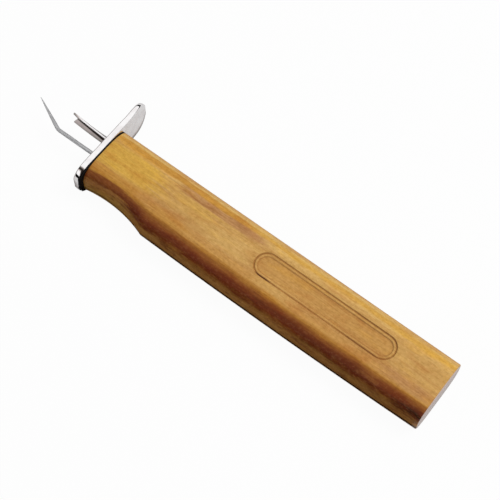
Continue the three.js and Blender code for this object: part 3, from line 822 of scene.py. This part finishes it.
def make_awl(steel):
    """The bent awl, tapered from its bend to the point."""
    tip_y = HEAD_Y + AWL_TIP_HEIGHT
    bend_y = HEAD_Y + AWL_BEND_HEIGHT
    lean = math.atan2(AWL_TIP_REACH, tip_y - bend_y)
    cut_back = AWL_BEND_RADIUS * math.tan(lean / 2)
    shank = np.linspace(AWL_LOW.y, bend_y - cut_back, SHANK_STATIONS + 1)[:-1]
    stations = [(0, y, 0, AWL_RADIUS) for y in shank]
    for i in range(BEND_STEPS + 1):
        angle = lean * i / BEND_STEPS
        x = AWL_BEND_RADIUS * (1 - math.cos(angle))
        y = bend_y - cut_back + AWL_BEND_RADIUS * math.sin(angle)
        stations.append((x, y, angle, AWL_RADIUS))
    bend_end = stations[-1][:2]
    for i in range(1, TAPER_STEPS + 1):
        share = i / TAPER_STEPS
        radius = mix(AWL_RADIUS, AWL_POINT_RADIUS, share ** AWL_TAPER_POWER)
        stations.append((*mix_points(bend_end, (AWL_TIP_REACH, tip_y), share), lean, radius))
    points = []
    for x, y, angle, radius in stations:
        for around in full_turn(AWL_SIDES):
            across = radius * math.cos(around)
            points.append((AWL_X + x + across * math.cos(angle), y - across * math.sin(angle),
                           MID_Z - radius * math.sin(around)))
    mesh_piece("steel_awl", points, [tube_faces(AWL_SIDES, len(stations))], [steel])


# Spring

def make_spring(steel):
    """The return spring between the bush and the washer, made as a fixed coil, though the real one
    shortens as the plate rises.
    """
    wire = SPRING_WIRE / 2
    radius = SPRING_RADIUS - wire
    low, high = SPRING_LOW.y + wire, SPRING_HIGH.y - wire
    steps = SPRING_COILS * COIL_STEPS
    points = []
    for i in range(steps + 1):
        share = i / steps
        angle = share * SPRING_COILS * 2 * math.pi
        outward = Vector((math.cos(angle), 0, math.sin(angle)))
        centre = Vector((POST_X, mix(low, high, share), MID_Z)) + outward * radius
        for around in full_turn(WIRE_SIDES):
            rise = Vector((0, wire * math.sin(around), 0))
            points.append(centre + outward * wire * math.cos(around) + rise)
    piece = mesh_piece("coil_return_spring", points, [tube_faces(WIRE_SIDES, steps + 1)], [steel])
    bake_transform(piece)


# Turned pieces

def make_turned(name, x, profile, material, gap_degrees=0):
    """A piece turned about an axis along Y, from a closed profile of radii and places."""
    gap = math.radians(gap_degrees)
    count = len(profile)
    turns = TURNED_SIDES + 1 if gap else TURNED_SIDES
    points = []
    for i in range(turns):
        angle = gap / 2 + i / TURNED_SIDES * (2 * math.pi - gap)
        for radius, y in profile:
            points.append((x + radius * math.cos(angle), y, MID_Z + radius * math.sin(angle)))
    if gap:
        faces = tube_faces(count, turns)
    else:
        faces = ring_faces(count, turns + 1)
        faces = [tuple(index % len(points) for index in face) for face in faces]
    mesh_piece(name, points, [faces], [material])


def make_sleeve(name, x, inner, ease, material, gap_degrees=0):
    """A sleeve as wide and long as its CAD node, whose edges are eased."""
    low, high = box_mm(PIECES[name][0])
    outer = (high.z - low.z) / 2
    rim = [(inner, ease), (inner + ease, 0), (outer - ease, 0), (outer, ease)]
    profile = [(radius, low.y + inset) for radius, inset in rim]
    profile += [(radius, high.y - inset) for radius, inset in reversed(rim)]
    make_turned(name, x, profile, material, gap_degrees)


def make_guide(steel, brass):
    """The rod with its washer and clip, and the bush and ferrule in the handle."""
    groove = ROD_RADIUS - ROD_GROOVE_DEPTH
    spigot = ROD_RADIUS - ROD_SHOULDER
    groove_low = ROD_LOW.y + ROD_END_LENGTH
    clip_top = WASHER_LOW.y
    rod = [
        (0, ROD_LOW.y), (ROD_RADIUS - ROD_CHAMFER, ROD_LOW.y), (ROD_RADIUS, ROD_LOW.y + ROD_CHAMFER),
        (ROD_RADIUS, groove_low), (groove, groove_low), (groove, clip_top), (ROD_RADIUS, clip_top),
        (ROD_RADIUS, PLATE_UNDERSIDE), (spigot, PLATE_UNDERSIDE),
        (spigot, ROD_HIGH.y - SPIGOT_CHAMFER_LENGTH), (spigot - SPIGOT_CHAMFER, ROD_HIGH.y),
        (0, ROD_HIGH.y),
    ]
    running = ROD_RADIUS + RUNNING_CLEARANCE
    clip_bore = groove + FIT_CLEARANCE
    make_turned("turned_guide_rod", POST_X, rod, steel)
    make_sleeve("turned_spring_washer", POST_X, running, WASHER_EASE, steel)
    make_sleeve("sprung_retaining_clip", POST_X, clip_bore, CLIP_EASE, steel, CLIP_MOUTH_DEGREES)
    make_sleeve("turned_guide_bush", POST_X, running, BUSH_EASE, brass)
    make_sleeve("turned_awl_ferrule", AWL_X, AWL_RADIUS + FIT_CLEARANCE, FERRULE_EASE, brass)


# Materials

def linear(red, green, blue):
    """A screen colour of 0 to 255 as Blender's linear colour."""
    def channel(value):
        share = value / 255
        return share / 12.92 if share <= 0.04045 else ((share + 0.055) / 1.055) ** 2.4
    return (channel(red), channel(green), channel(blue), 1)


class Value:
    """A number that nodes work out at each point of a surface, for use in sums."""

    def __init__(self, nodes, socket):
        self.nodes = nodes
        self.socket = socket

    def math(self, operation, other=0.0):
        node = self.nodes.add("ShaderNodeMath", operation=operation)
        self.nodes.set(node.inputs[0], self)
        self.nodes.set(node.inputs[1], other)
        return Value(self.nodes, node.outputs[0])

    def __add__(self, other):
        return self.math("ADD", other)

    def __sub__(self, other):
        return self.math("SUBTRACT", other)

    def __rsub__(self, other):
        return self * -1 + other

    def __mul__(self, other):
        return self.math("MULTIPLY", other)

    def __truediv__(self, other):
        return self.math("DIVIDE", other)

    def step(self, low, high, to_low=0.0, to_high=1.0):
        """A smooth step from one share to another between two values."""
        node = self.nodes.add("ShaderNodeMapRange", interpolation_type="SMOOTHSTEP")
        self.nodes.fill(node, {"Value": self, "From Min": low, "From Max": high,
                               "To Min": to_low, "To Max": to_high})
        return Value(self.nodes, node.outputs["Result"])

    def within(self, low, high, soft):
        """1 between two values, falling softly to 0 at both."""
        return self.step(low, low + soft) * self.step(high - soft, high, 1, 0)


class Nodes:
    """The nodes of a material or world, and short ways to add more."""

    def __init__(self, owner):
        owner.use_nodes = True
        self.owner = owner
        self.tree = owner.node_tree

    def add(self, kind, **settings):
        node = self.tree.nodes.new(kind)
        for name, value in settings.items():
            setattr(node, name, value)
        return node

    def set(self, socket, value):
        source = value.socket if isinstance(value, Value) else value
        if isinstance(source, bpy.types.NodeSocket):
            self.tree.links.new(source, socket)
        else:
            socket.default_value = source

    def fill(self, node, inputs):
        for name, value in inputs.items():
            self.set(node.inputs[name], value)

    def shade(self, inputs):
        self.fill(self.tree.nodes["Principled BSDF"], inputs)

    def place(self):
        """The place in the part, in metres."""
        return self.add("ShaderNodeTexCoord").outputs["Object"]

    def axis(self, name):
        """The place along one axis, in millimetres."""
        split = self.add("ShaderNodeSeparateXYZ")
        self.set(split.inputs[0], self.place())
        return Value(self, split.outputs[name]) / MM

    def mark(self, name):
        """A mark of the mesh."""
        return Value(self, self.add("ShaderNodeAttribute", attribute_name=name).outputs["Fac"])

    def noise(self, scale, detail=3.0, rough=0.5, warp=0.0, offset=(0, 0, 0)):
        """Noise whose scale is in cycles per millimetre along each axis."""
        stretched = self.add("ShaderNodeMapping")
        cycles = [value / MM for value in scale]
        self.fill(stretched, {"Vector": self.place(), "Scale": cycles, "Location": offset})
        node = self.add("ShaderNodeTexNoise")
        self.fill(node, {"Vector": stretched.outputs[0], "Scale": 1, "Detail": detail,
                         "Roughness": rough, "Distortion": warp})
        return Value(self, node.outputs["Fac"])

    def ramp(self, value, stops):
        node = self.add("ShaderNodeValToRGB")
        self.set(node.inputs["Fac"], value)
        points = node.color_ramp.elements
        while len(points) < len(stops):
            points.new(1)
        for point, (place, colour) in zip(points, stops):
            point.position = place
            point.color = colour
        return node.outputs["Color"]

    def blend(self, share, under, over, kind="MIX"):
        node = self.add("ShaderNodeMix", data_type="RGBA", blend_type=kind)
        self.set(node.inputs["Factor"], share)
        self.set(node.inputs[6], under)
        self.set(node.inputs[7], over)
        return node.outputs[2]

    def tint(self, share, colour, tone):
        """A colour multiplied by a tone where the share is 1."""
        return self.blend(share, colour, tone, "MULTIPLY")

    def bump(self, height, distance, strength):
        node = self.add("ShaderNodeBump")
        self.fill(node, {"Height": height, "Distance": distance * MM, "Strength": strength})
        self.shade({"Normal": node.outputs["Normal"]})


def material_nodes(name):
    return Nodes(bpy.data.materials.new(name))


# Tones of the wood
CREAM_TAN = linear(208, 170, 101)
GOLDEN_TAN = linear(200, 154, 72)
SAND = linear(202, 162, 96)
TAN = linear(190, 148, 85)
DULL_TAN = linear(183, 137, 78)
WARM_TAN = linear(190, 142, 77)
GOLD = linear(205, 161, 64)
ORANGE = linear(186, 134, 56)
PINK_BROWN = linear(176, 129, 82)
AMBER = linear(166, 115, 47)
BROWN = linear(142, 90, 35)
RUST = linear(128, 73, 28)
CHESTNUT = linear(115, 56, 17)
DARK_RED = linear(102, 41, 6)
MOTTLE_RED = linear(104, 38, 12)
OLIVE_BROWN = linear(148, 95, 36)
OLIVE_TAN = linear(180, 126, 62)
OLIVE = linear(152, 108, 46)
# Painted shadow along the finger side's lower edge, and stain and painted shade in its dark band
SHADE_AND_STAIN_BLACK = linear(40, 20, 8)
# Painted shade in the recess's groove, and deeper painted shade in stretches of it
GROOVE_SHADE_BROWN = linear(126, 72, 30)
GROOVE_DEEP_SHADE_BROWN = linear(78, 34, 18)

# Tones across the handle, by degrees round the section from the thumb side over the front. The dark
# red-brown band on the finger side's rounding is partly the wood's tone and partly painted shade, and
# the olive tan below it is partly painted light bounced up from the floor.
WOOD_ACROSS = [
    (0, TAN), (25, WARM_TAN), (44, CREAM_TAN), (51, GOLDEN_TAN), (58, GOLDEN_TAN), (64, SAND),
    (74, TAN), (92, TAN), (99, DULL_TAN), (108, WARM_TAN), (111, WARM_TAN), (116, AMBER),
    (120, BROWN), (124, RUST), (130, CHESTNUT), (138, DARK_RED), (148, DARK_RED), (155, CHESTNUT),
    (161, OLIVE_BROWN), (170, OLIVE_TAN), (180, OLIVE_TAN), (190, BROWN), (215, WARM_TAN),
    (240, DULL_TAN), (270, TAN), (300, SAND), (330, WARM_TAN), (360, TAN),
]

# How far the tones wander round the section, in degrees: as a slow drift, as frayed edges, and as
# blotches on the finger side and, by a share, near the thumb side
TONE_DRIFT = 10
TONE_FRAY = 9
TONE_BLOTCH = 36
THUMB_BLOTCH_SHARE = 0.35

# How far the ends of the patches are frayed along the handle
PATCH_FRAY = 16

# Patches on the handle: place along it from and to, degrees round from and to, how soft the ends
# and the sides are, tone and strength. The dark rows past 120 degrees deepen the finger side's band,
# which is partly painted shade, and the olive and golden tan rows near the head at 147 to 200 degrees
# lighten its lower edge, partly with painted bounced light.
WOOD_PATCHES = [
    (6, 66, 47, 63, 10, 3, ORANGE, 0.9),
    (38, 66, 62, 68, 8, 3, ORANGE, 0.4),
    (36, 66, 68, 98, 8, 5, GOLD, 0.75),
    (16, 36, 72, 88, 8, 4, GOLD, 0.3),
    (2, 22, 84, 100, 6, 4, SAND, 0.6),
    (-14, 2, 92, 110, 5, 4, SAND, 0.5),
    (38, 66, 100, 114, 8, 4, ORANGE, 0.7),
    (22, 40, 100, 114, 6, 4, ORANGE, 0.5),
    (22, 40, 113, 121, 5, 3, BROWN, 0.35),
    (2, 37, 62, 76, 5, 3, PINK_BROWN, 0.9),
    (20, 36, 70.5, 73.5, 3, 1.3, BROWN, 0.5),
    (32, 36, 63, 72, 1.2, 2, BROWN, 0.35),
    (8, 18, 63, 73, 4, 3, CHESTNUT, 0.22),
    (-60, -42, 96, 112, 5, 4, PINK_BROWN, 0.7),
    (38, 66, 114, 122.5, 8, 1.5, ORANGE, 0.8),
    (40, 66, 121, 148, 8, 3, RUST, 0.5),
    (40, 66, 147, 200, 10, 6, OLIVE_TAN, 0.8),
    (40, 66, 166, 200, 10, 9, GOLDEN_TAN, 0.65),
    (-62, -14, 154, 186, 10, 6, OLIVE_BROWN, 0.45),
    (-66, -44, 136, 164, 8, 6, CHESTNUT, 0.5),
    (-66, -50, 128, 146, 6, 5, DARK_RED, 0.5),
    (-46, 2, 126, 146, 6, 5, SHADE_AND_STAIN_BLACK, 0.2),
    (-66, -14, 144, 170, 8, 6, SHADE_AND_STAIN_BLACK, 0.12),
    (-66, -47, 138, 159, 6, 6, SHADE_AND_STAIN_BLACK, 0.4),
    (-49, -35, 120, 137, 6, 5, OLIVE_TAN, 0.16),
    (-66, -52, 126, 146, 4, 5, SHADE_AND_STAIN_BLACK, 0.3),
    (-34, -18, 153, 164, 6, 5, SHADE_AND_STAIN_BLACK, 0.2),
    (-62, -53.5, 144, 159, 4, 5, SHADE_AND_STAIN_BLACK, 0.9),
]

# Stretches round the section: degrees from and to, and how soft. The edge line is a painted shadow
# line along the finger side, whose edges are frayed by a few degrees.
FINGER_SIDE = (114, 210, 20)
LOW_SIDE = (134, 210, 20)
THUMB_EDGE = (20, 84, 14)
EDGE_LINE = (180.8, 189.5, 1.5)
EDGE_LINE_FRAY = 2.25

# Radians a millimetre of the hairlines across and through the handle, and how far they sway
HAIRLINE_ACROSS = 9
HAIRLINE_THROUGH = 3
HAIRLINE_SWAY = 46

# How strong the painted shade in the recess's groove is, and where its lower side has less
GROOVE_SHARE = 0.5
FAINT_SHARE = 0.3
FAINT_ALONG = (-28, -5, 3)

# Stretches of deeper painted shade in the recess's groove: place along the handle from and to,
# degrees round from and to, and strength
GROOVE_DEEP_SHADES = [
    (-4.5, 2, 95, 130, 0.9),
    (-41, -29, 95, 130, 0.35),
    (-44, -28, 50, 85, 0.2),
]


def wood_tones(wood, degrees, along, side):
    """The wood's tones round and along the handle, with frayed edges."""
    drift = wood.noise((0.05, 0.03, 0.05), offset=(3, 7, 1)) - 0.5
    fray = wood.noise((1.4, 0.09, 1.4), detail=5, rough=0.6, offset=(9, 2, 5)) - 0.5
    blotch = wood.noise((0.35, 0.1, 0.35), detail=4, rough=0.6, offset=(8, 5, 2)) - 0.5
    blotched = side + degrees.within(*THUMB_EDGE) * THUMB_BLOTCH_SHARE
    across = degrees + drift * TONE_DRIFT + fray * TONE_FRAY + blotch * TONE_BLOTCH * blotched
    colour = wood.ramp(across / 360, [(degree / 360, tone) for degree, tone in WOOD_ACROSS])
    place = along + fray * PATCH_FRAY
    for y_low, y_high, low, high, soft_y, soft, tone, strength in WOOD_PATCHES:
        mask = place.within(y_low, y_high, soft_y) * across.within(low - soft, high + soft, 2 * soft)
        colour = wood.blend(mask * strength, colour, tone)

    # Red and olive mottles in the dark side, and the painted shadow line that runs along it
    speckle = wood.noise((0.9, 0.3, 0.9), detail=4, rough=0.65, offset=(1, 9, 6))
    colour = wood.blend(side * speckle.step(0.5, 0.64, 0, 0.45), colour, MOTTLE_RED)
    colour = wood.blend(degrees.within(*LOW_SIDE) * speckle.step(0.36, 0.5, 0.25, 0), colour, OLIVE)
    line = (degrees + fray * EDGE_LINE_FRAY).within(*EDGE_LINE)
    return wood.blend(line * along.step(30, 38, 0.85, 0.5), colour, SHADE_AND_STAIN_BLACK)


def hairlines(wood):
    """Fine lines where leaning sheets of the grain meet the surface, in patches."""
    sway = wood.noise((0.16, 0.05, 0.16), detail=2, offset=(4, 4, 8))
    sheets = wood.axis("X") * HAIRLINE_ACROSS + wood.axis("Z") * HAIRLINE_THROUGH + sway * HAIRLINE_SWAY
    patchy = wood.noise((0.2, 0.05, 0.2), detail=2, offset=(6, 1, 6))
    return sheets.math("SINE").step(0.5, 1) * patchy.step(0.42, 0.62, 0.02, 0.15)


def recess_tones(wood, colour, degrees, along):
    """The recess: a darker, more orange floor, and painted shade in its groove, fainter or darker in
    stretches.
    """
    colour = wood.tint(wood.mark("sunk"), colour, (0.94, 0.87, 0.8, 1))
    # Painted shade in the groove, fainter on part of its lower side and deeper in stretches
    groove = wood.mark("groove")
    faint = along.within(*FAINT_ALONG) * degrees.step(88, 92, 0, FAINT_SHARE)
    colour = wood.blend(groove * (GROOVE_SHARE - faint), colour, GROOVE_SHADE_BROWN)
    for y_low, y_high, low, high, strength in GROOVE_DEEP_SHADES:
        mask = along.within(y_low, y_high, 2) * degrees.within(low, high, 1)
        colour = wood.blend(mask * strength * groove, colour, GROOVE_DEEP_SHADE_BROWN)
    return colour


def wood_material():
    """Lacquered wood, whose grain runs along the handle."""
    wood = material_nodes("lacquered_wood")
    degrees = wood.mark("turn") * 360
    along = wood.axis("Y")
    side = degrees.within(*FINGER_SIDE)
    colour = wood_tones(wood, degrees, along, side)

    # Soft mottling, long streaks, fine grain and flecks: where each begins and ends, its strength
    # there, and the tone that it multiplies the wood by
    mottle = wood.noise((0.28, 0.09, 0.28), rough=0.55, offset=(2, 8, 3))
    streaks = wood.noise((1.1, 0.035, 1.1), detail=5, rough=0.6, warp=0.25)
    fine = wood.noise((5, 0.22, 5), detail=5, rough=0.7)
    flecks = wood.noise((1.5, 0.9, 1.5), rough=0.6, offset=(7, 3, 9))
    figure = [
        (mottle, 0.5, 0.72, 0, 0.3, linear(226, 170, 110)),
        (mottle, 0.3, 0.48, 0.9, 0, (1.1, 1.08, 0.9, 1)),
        (streaks, 0.48, 0.72, 0, 0.26, linear(200, 146, 92)),
        (streaks, 0.3, 0.5, 1, 0, (1.1, 1.1, 1.04, 1)),
        (fine, 0.5, 0.74, 0, 0.28, linear(160, 106, 64)),
        (flecks, 0.5, 0.68, 0, 1, (1.1, 1.12, 1.2, 1)),
        (flecks, 0.32, 0.5, 1, 0, (0.88, 0.86, 0.8, 1)),
    ]
    for texture, low, high, at_low, at_high, tone in figure:
        colour = wood.tint(texture.step(low, high, at_low, at_high), colour, tone)
    colour = wood.tint(hairlines(wood), colour, linear(160, 102, 56))

    # Paler flecks in the dark side, and pores
    pale = flecks.step(0.5, 0.68)
    colour = wood.blend(pale * side * 0.09, colour, linear(170, 132, 92))
    pore = wood.noise((8, 0.7, 8), detail=2, offset=(5, 5, 5)).step(0.64, 0.72)
    colour = wood.tint(pore * 0.3, colour, linear(120, 66, 32))

    wood.shade({
        "Base Color": recess_tones(wood, colour, degrees, along),
        "Roughness": fine.step(0.3, 0.8, 0.38, 0.55),
        "Specular IOR Level": 0.12,
        "Coat Weight": 0.08,
        "Coat Roughness": 0.2,
    })
    wood.bump(fine * 0.5 - pore, 0.015, 0.4)
    return wood.owner


# The pith that the growth rings on the ends turn about, and radians of the ring wave a millimetre
PITH_X = 34
PITH_Z = -26
RING_WAVE = 5.2


def end_grain_material():
    """The sawn ends of the wood: arcs of growth rings and open pores, with painted shade towards the
    back.
    """
    wood = material_nodes("wood_end_grain")
    height = wood.axis("Z")
    warp = wood.noise((0.12, 0.02, 0.12), offset=(1, 4, 2))
    squares = (wood.axis("X") - PITH_X).math("POWER", 2) + (height - PITH_Z).math("POWER", 2)
    radius = squares.math("SQRT") + warp * 6
    wave = (radius * RING_WAVE).math("SINE")
    colour = wood.blend(wave.step(-0.2, 1), linear(206, 166, 142), linear(178, 132, 108))
    pore = wood.noise((3.2, 0.2, 3.2), rough=0.6).step(0.56, 0.7)
    colour = wood.blend(pore * 0.4, colour, linear(126, 84, 66))
    # Painted shade: darker and bluer towards the back of the end
    colour = wood.tint(height.step(7, 12, 1, 0), colour, (0.62, 0.63, 0.7, 1))
    wood.shade({"Base Color": colour, "Roughness": 0.3, "Coat Weight": 0.35, "Coat Roughness": 0.15})
    wood.bump(1 - pore, 0.01, 0.4)
    return wood.owner


def chrome_material(name, tint, hazy_tint, rough):
    """Polished chrome plate with faint buffing marks, and painted shade and reflections by shade marks.
    """
    chrome = material_nodes(name)
    buff = chrome.noise((0.4, 6, 6), detail=4, rough=0.6)
    haze = chrome.noise((0.5, 0.5, 0.5))
    # Colours of the painted shade and painted reflections, from bright to black
    stops = [
        (0, (1, 1, 1, 1)),
        (OPEN_SHADE, linear(212, 200, 197)),
        (STRIP_SHADE, linear(150, 146, 140)),
        (1, linear(44, 36, 33)),
    ]
    colour = chrome.blend(haze.step(0.35, 0.75), tint, hazy_tint)
    colour = chrome.tint(1.0, colour, chrome.ramp(chrome.mark("shade"), stops))
    chrome.shade({"Base Color": colour, "Metallic": 1, "Roughness": buff * 0.05 + rough})
    chrome.bump(buff, 0.001, 0.15)
    return chrome.owner


def metal_material(name, tint, mark_tint, rough, scale, detail=5, mark_rough=0.65, depth=0.004):
    """Satin metal with fine marks, whose scale is in cycles per millimetre along each axis."""
    metal = material_nodes(name)
    marks = metal.noise(scale, detail, mark_rough)
    colour = metal.blend(marks.step(0.3, 0.75), tint, mark_tint)
    metal.shade({"Base Color": colour, "Metallic": 1, "Roughness": marks * 0.15 + rough})
    metal.bump(marks, depth, 0.5)
    return metal.owner


def rubber_material():
    rubber = material_nodes("black_rubber")
    mottle = rubber.noise((1.5, 1.5, 1.5), detail=5, rough=0.6)
    colour = rubber.blend(mottle.step(0.35, 0.75), linear(5, 4, 4), linear(16, 13, 12))
    roughness = mottle.step(0.3, 0.8, 0.6, 0.8)
    rubber.shade({"Base Color": colour, "Roughness": roughness, "Specular IOR Level": 0.2})
    rubber.bump(mottle, 0.01, 0.6)
    return rubber.owner


# Stage

def light_path(nodes, *names):
    """1 for the rays of the named kinds and 0 for the rest."""
    path = nodes.add("ShaderNodeLightPath")
    total = Value(nodes, path.outputs[names[0]])
    for name in names[1:]:
        total = total.math("MAXIMUM", path.outputs[name])
    return total


def make_world():
    """White where it is seen or mirrored, and softer as the light that falls on the object."""
    world = Nodes(bpy.data.worlds.new("studio"))
    bpy.context.scene.world = world.owner
    seen = light_path(world, "Is Camera Ray", "Is Glossy Ray", "Is Transmission Ray")
    strength = seen * (1 - FILL_STRENGTH) + FILL_STRENGTH
    world.fill(world.tree.nodes["Background"], {"Color": (1, 1, 1, 1), "Strength": strength})


def plain_material(name, brightness):
    plain = material_nodes(name)
    colour = (brightness, brightness, brightness, 1)
    plain.shade({"Base Color": colour, "Roughness": 1, "Specular IOR Level": 0})
    return plain


def stage_sheet(name, corners, material):
    """A flat stage piece, from three of its corners."""
    start, side, rise = [Vector(corner) * MM for corner in corners]
    mesh = bpy.data.meshes.new(name)
    mesh.from_pydata([start, side, side + rise - start, rise], [], [(0, 1, 2, 3)])
    mesh.materials.append(material)
    sheet = add_object(name, mesh)
    return sheet


def make_floor():
    """A pale floor that keeps the object's shadow and shows a white background."""
    floor = plain_material("pale_floor", FLOOR_COLOUR)
    white = floor.add("ShaderNodeEmission")
    floor.fill(white, {"Strength": FLOOR_WHITE})
    seen = light_path(floor, "Is Camera Ray") * FLOOR_WHITE_SHARE
    mirrored = light_path(floor, "Is Glossy Ray", "Is Transmission Ray") * FLOOR_MIRROR_SHARE
    blend = floor.add("ShaderNodeMixShader")
    lit = floor.tree.nodes["Principled BSDF"].outputs["BSDF"]
    floor.fill(blend, {0: mirrored + seen, 1: lit, 2: white.outputs["Emission"]})
    floor.fill(floor.tree.nodes["Material Output"], {"Surface": blend.outputs[0]})
    half = FLOOR_SIZE / 2
    stage_sheet("floor", [(-half, -half, 0), (half, -half, 0), (-half, half, 0)], floor.owner)


def make_cards():
    """Black and grey cards round the object, which only its reflections show."""
    black = plain_material("black_card", BLACK_CARD_COLOUR).owner
    grey = plain_material("grey_card", GREY_CARD_COLOUR).owner
    cards = [stage_sheet("black_card", corners, black) for corners in BLACK_CARDS]
    cards += [stage_sheet("grey_card", corners, grey) for corners in GREY_CARDS]
    for card in cards:
        card.visible_camera = False
        card.visible_diffuse = False
        card.visible_transmission = False
        card.visible_shadow = False


def aim_object(name, data, place, target, roll=0):
    """A lamp or camera at one place, in millimetres, that looks at another."""
    aimed = add_object(name, data)
    aimed.location = place * MM
    aimed.rotation_mode = "QUATERNION"
    towards = (target - place).to_track_quat("-Z", "Y")
    aimed.rotation_quaternion = towards @ Quaternion((0, 0, 1), roll)
    return aimed


def make_key():
    lamp = bpy.data.lights.new("key", "AREA")
    lamp.shape = "SQUARE"
    lamp.size = KEY_SIZE * MM
    lamp.energy = KEY_WATTS
    key = aim_object("key", lamp, KEY_PLACE, Vector((0, 0, 0)))
    key.visible_glossy = False


def make_camera():
    lens = bpy.data.cameras.new("camera")
    lens.sensor_width = SENSOR_WIDTH
    lens.lens = CAMERA_LENS
    lens.clip_start = 0.01
    camera = aim_object("camera", lens, CAMERA_PLACE, CAMERA_AIM, CAMERA_ROLL)
    bpy.context.scene.camera = camera


make_camera()
make_handle(wood_material(), end_grain_material())
make_plate(chrome_material("chrome_plate", linear(250, 248, 248), linear(236, 231, 231), 0.05))
make_fork(chrome_material("chrome_fork", linear(248, 246, 246), linear(236, 232, 232), 0.1))
make_pad(rubber_material())

# Cycles per millimetre of the metals' marks: long ones on drawn steel, and rings on what is turned
DRAWN_MARKS = (5, 0.15, 5)
TURNED_STEEL_MARKS = (0.6, 7, 0.6)
TURNED_BRASS_MARKS = (0.6, 8, 0.6)
make_awl(metal_material("awl_steel", linear(206, 206, 207), linear(176, 176, 177), 0.65, DRAWN_MARKS))
make_spring(metal_material("spring_wire", linear(150, 150, 154), linear(118, 118, 121), 0.3, DRAWN_MARKS))
turned_steel = metal_material("turned_steel", linear(182, 182, 184), linear(130, 130, 132), 0.25,
                              TURNED_STEEL_MARKS)
turned_brass = metal_material("turned_brass", linear(206, 168, 88), linear(168, 128, 58), 0.2,
                              TURNED_BRASS_MARKS, detail=4, mark_rough=0.6, depth=0.003)
make_guide(turned_steel, turned_brass)
make_world()
make_floor()
make_cards()
make_key()
bpy.context.scene.view_settings.view_transform = "Standard"
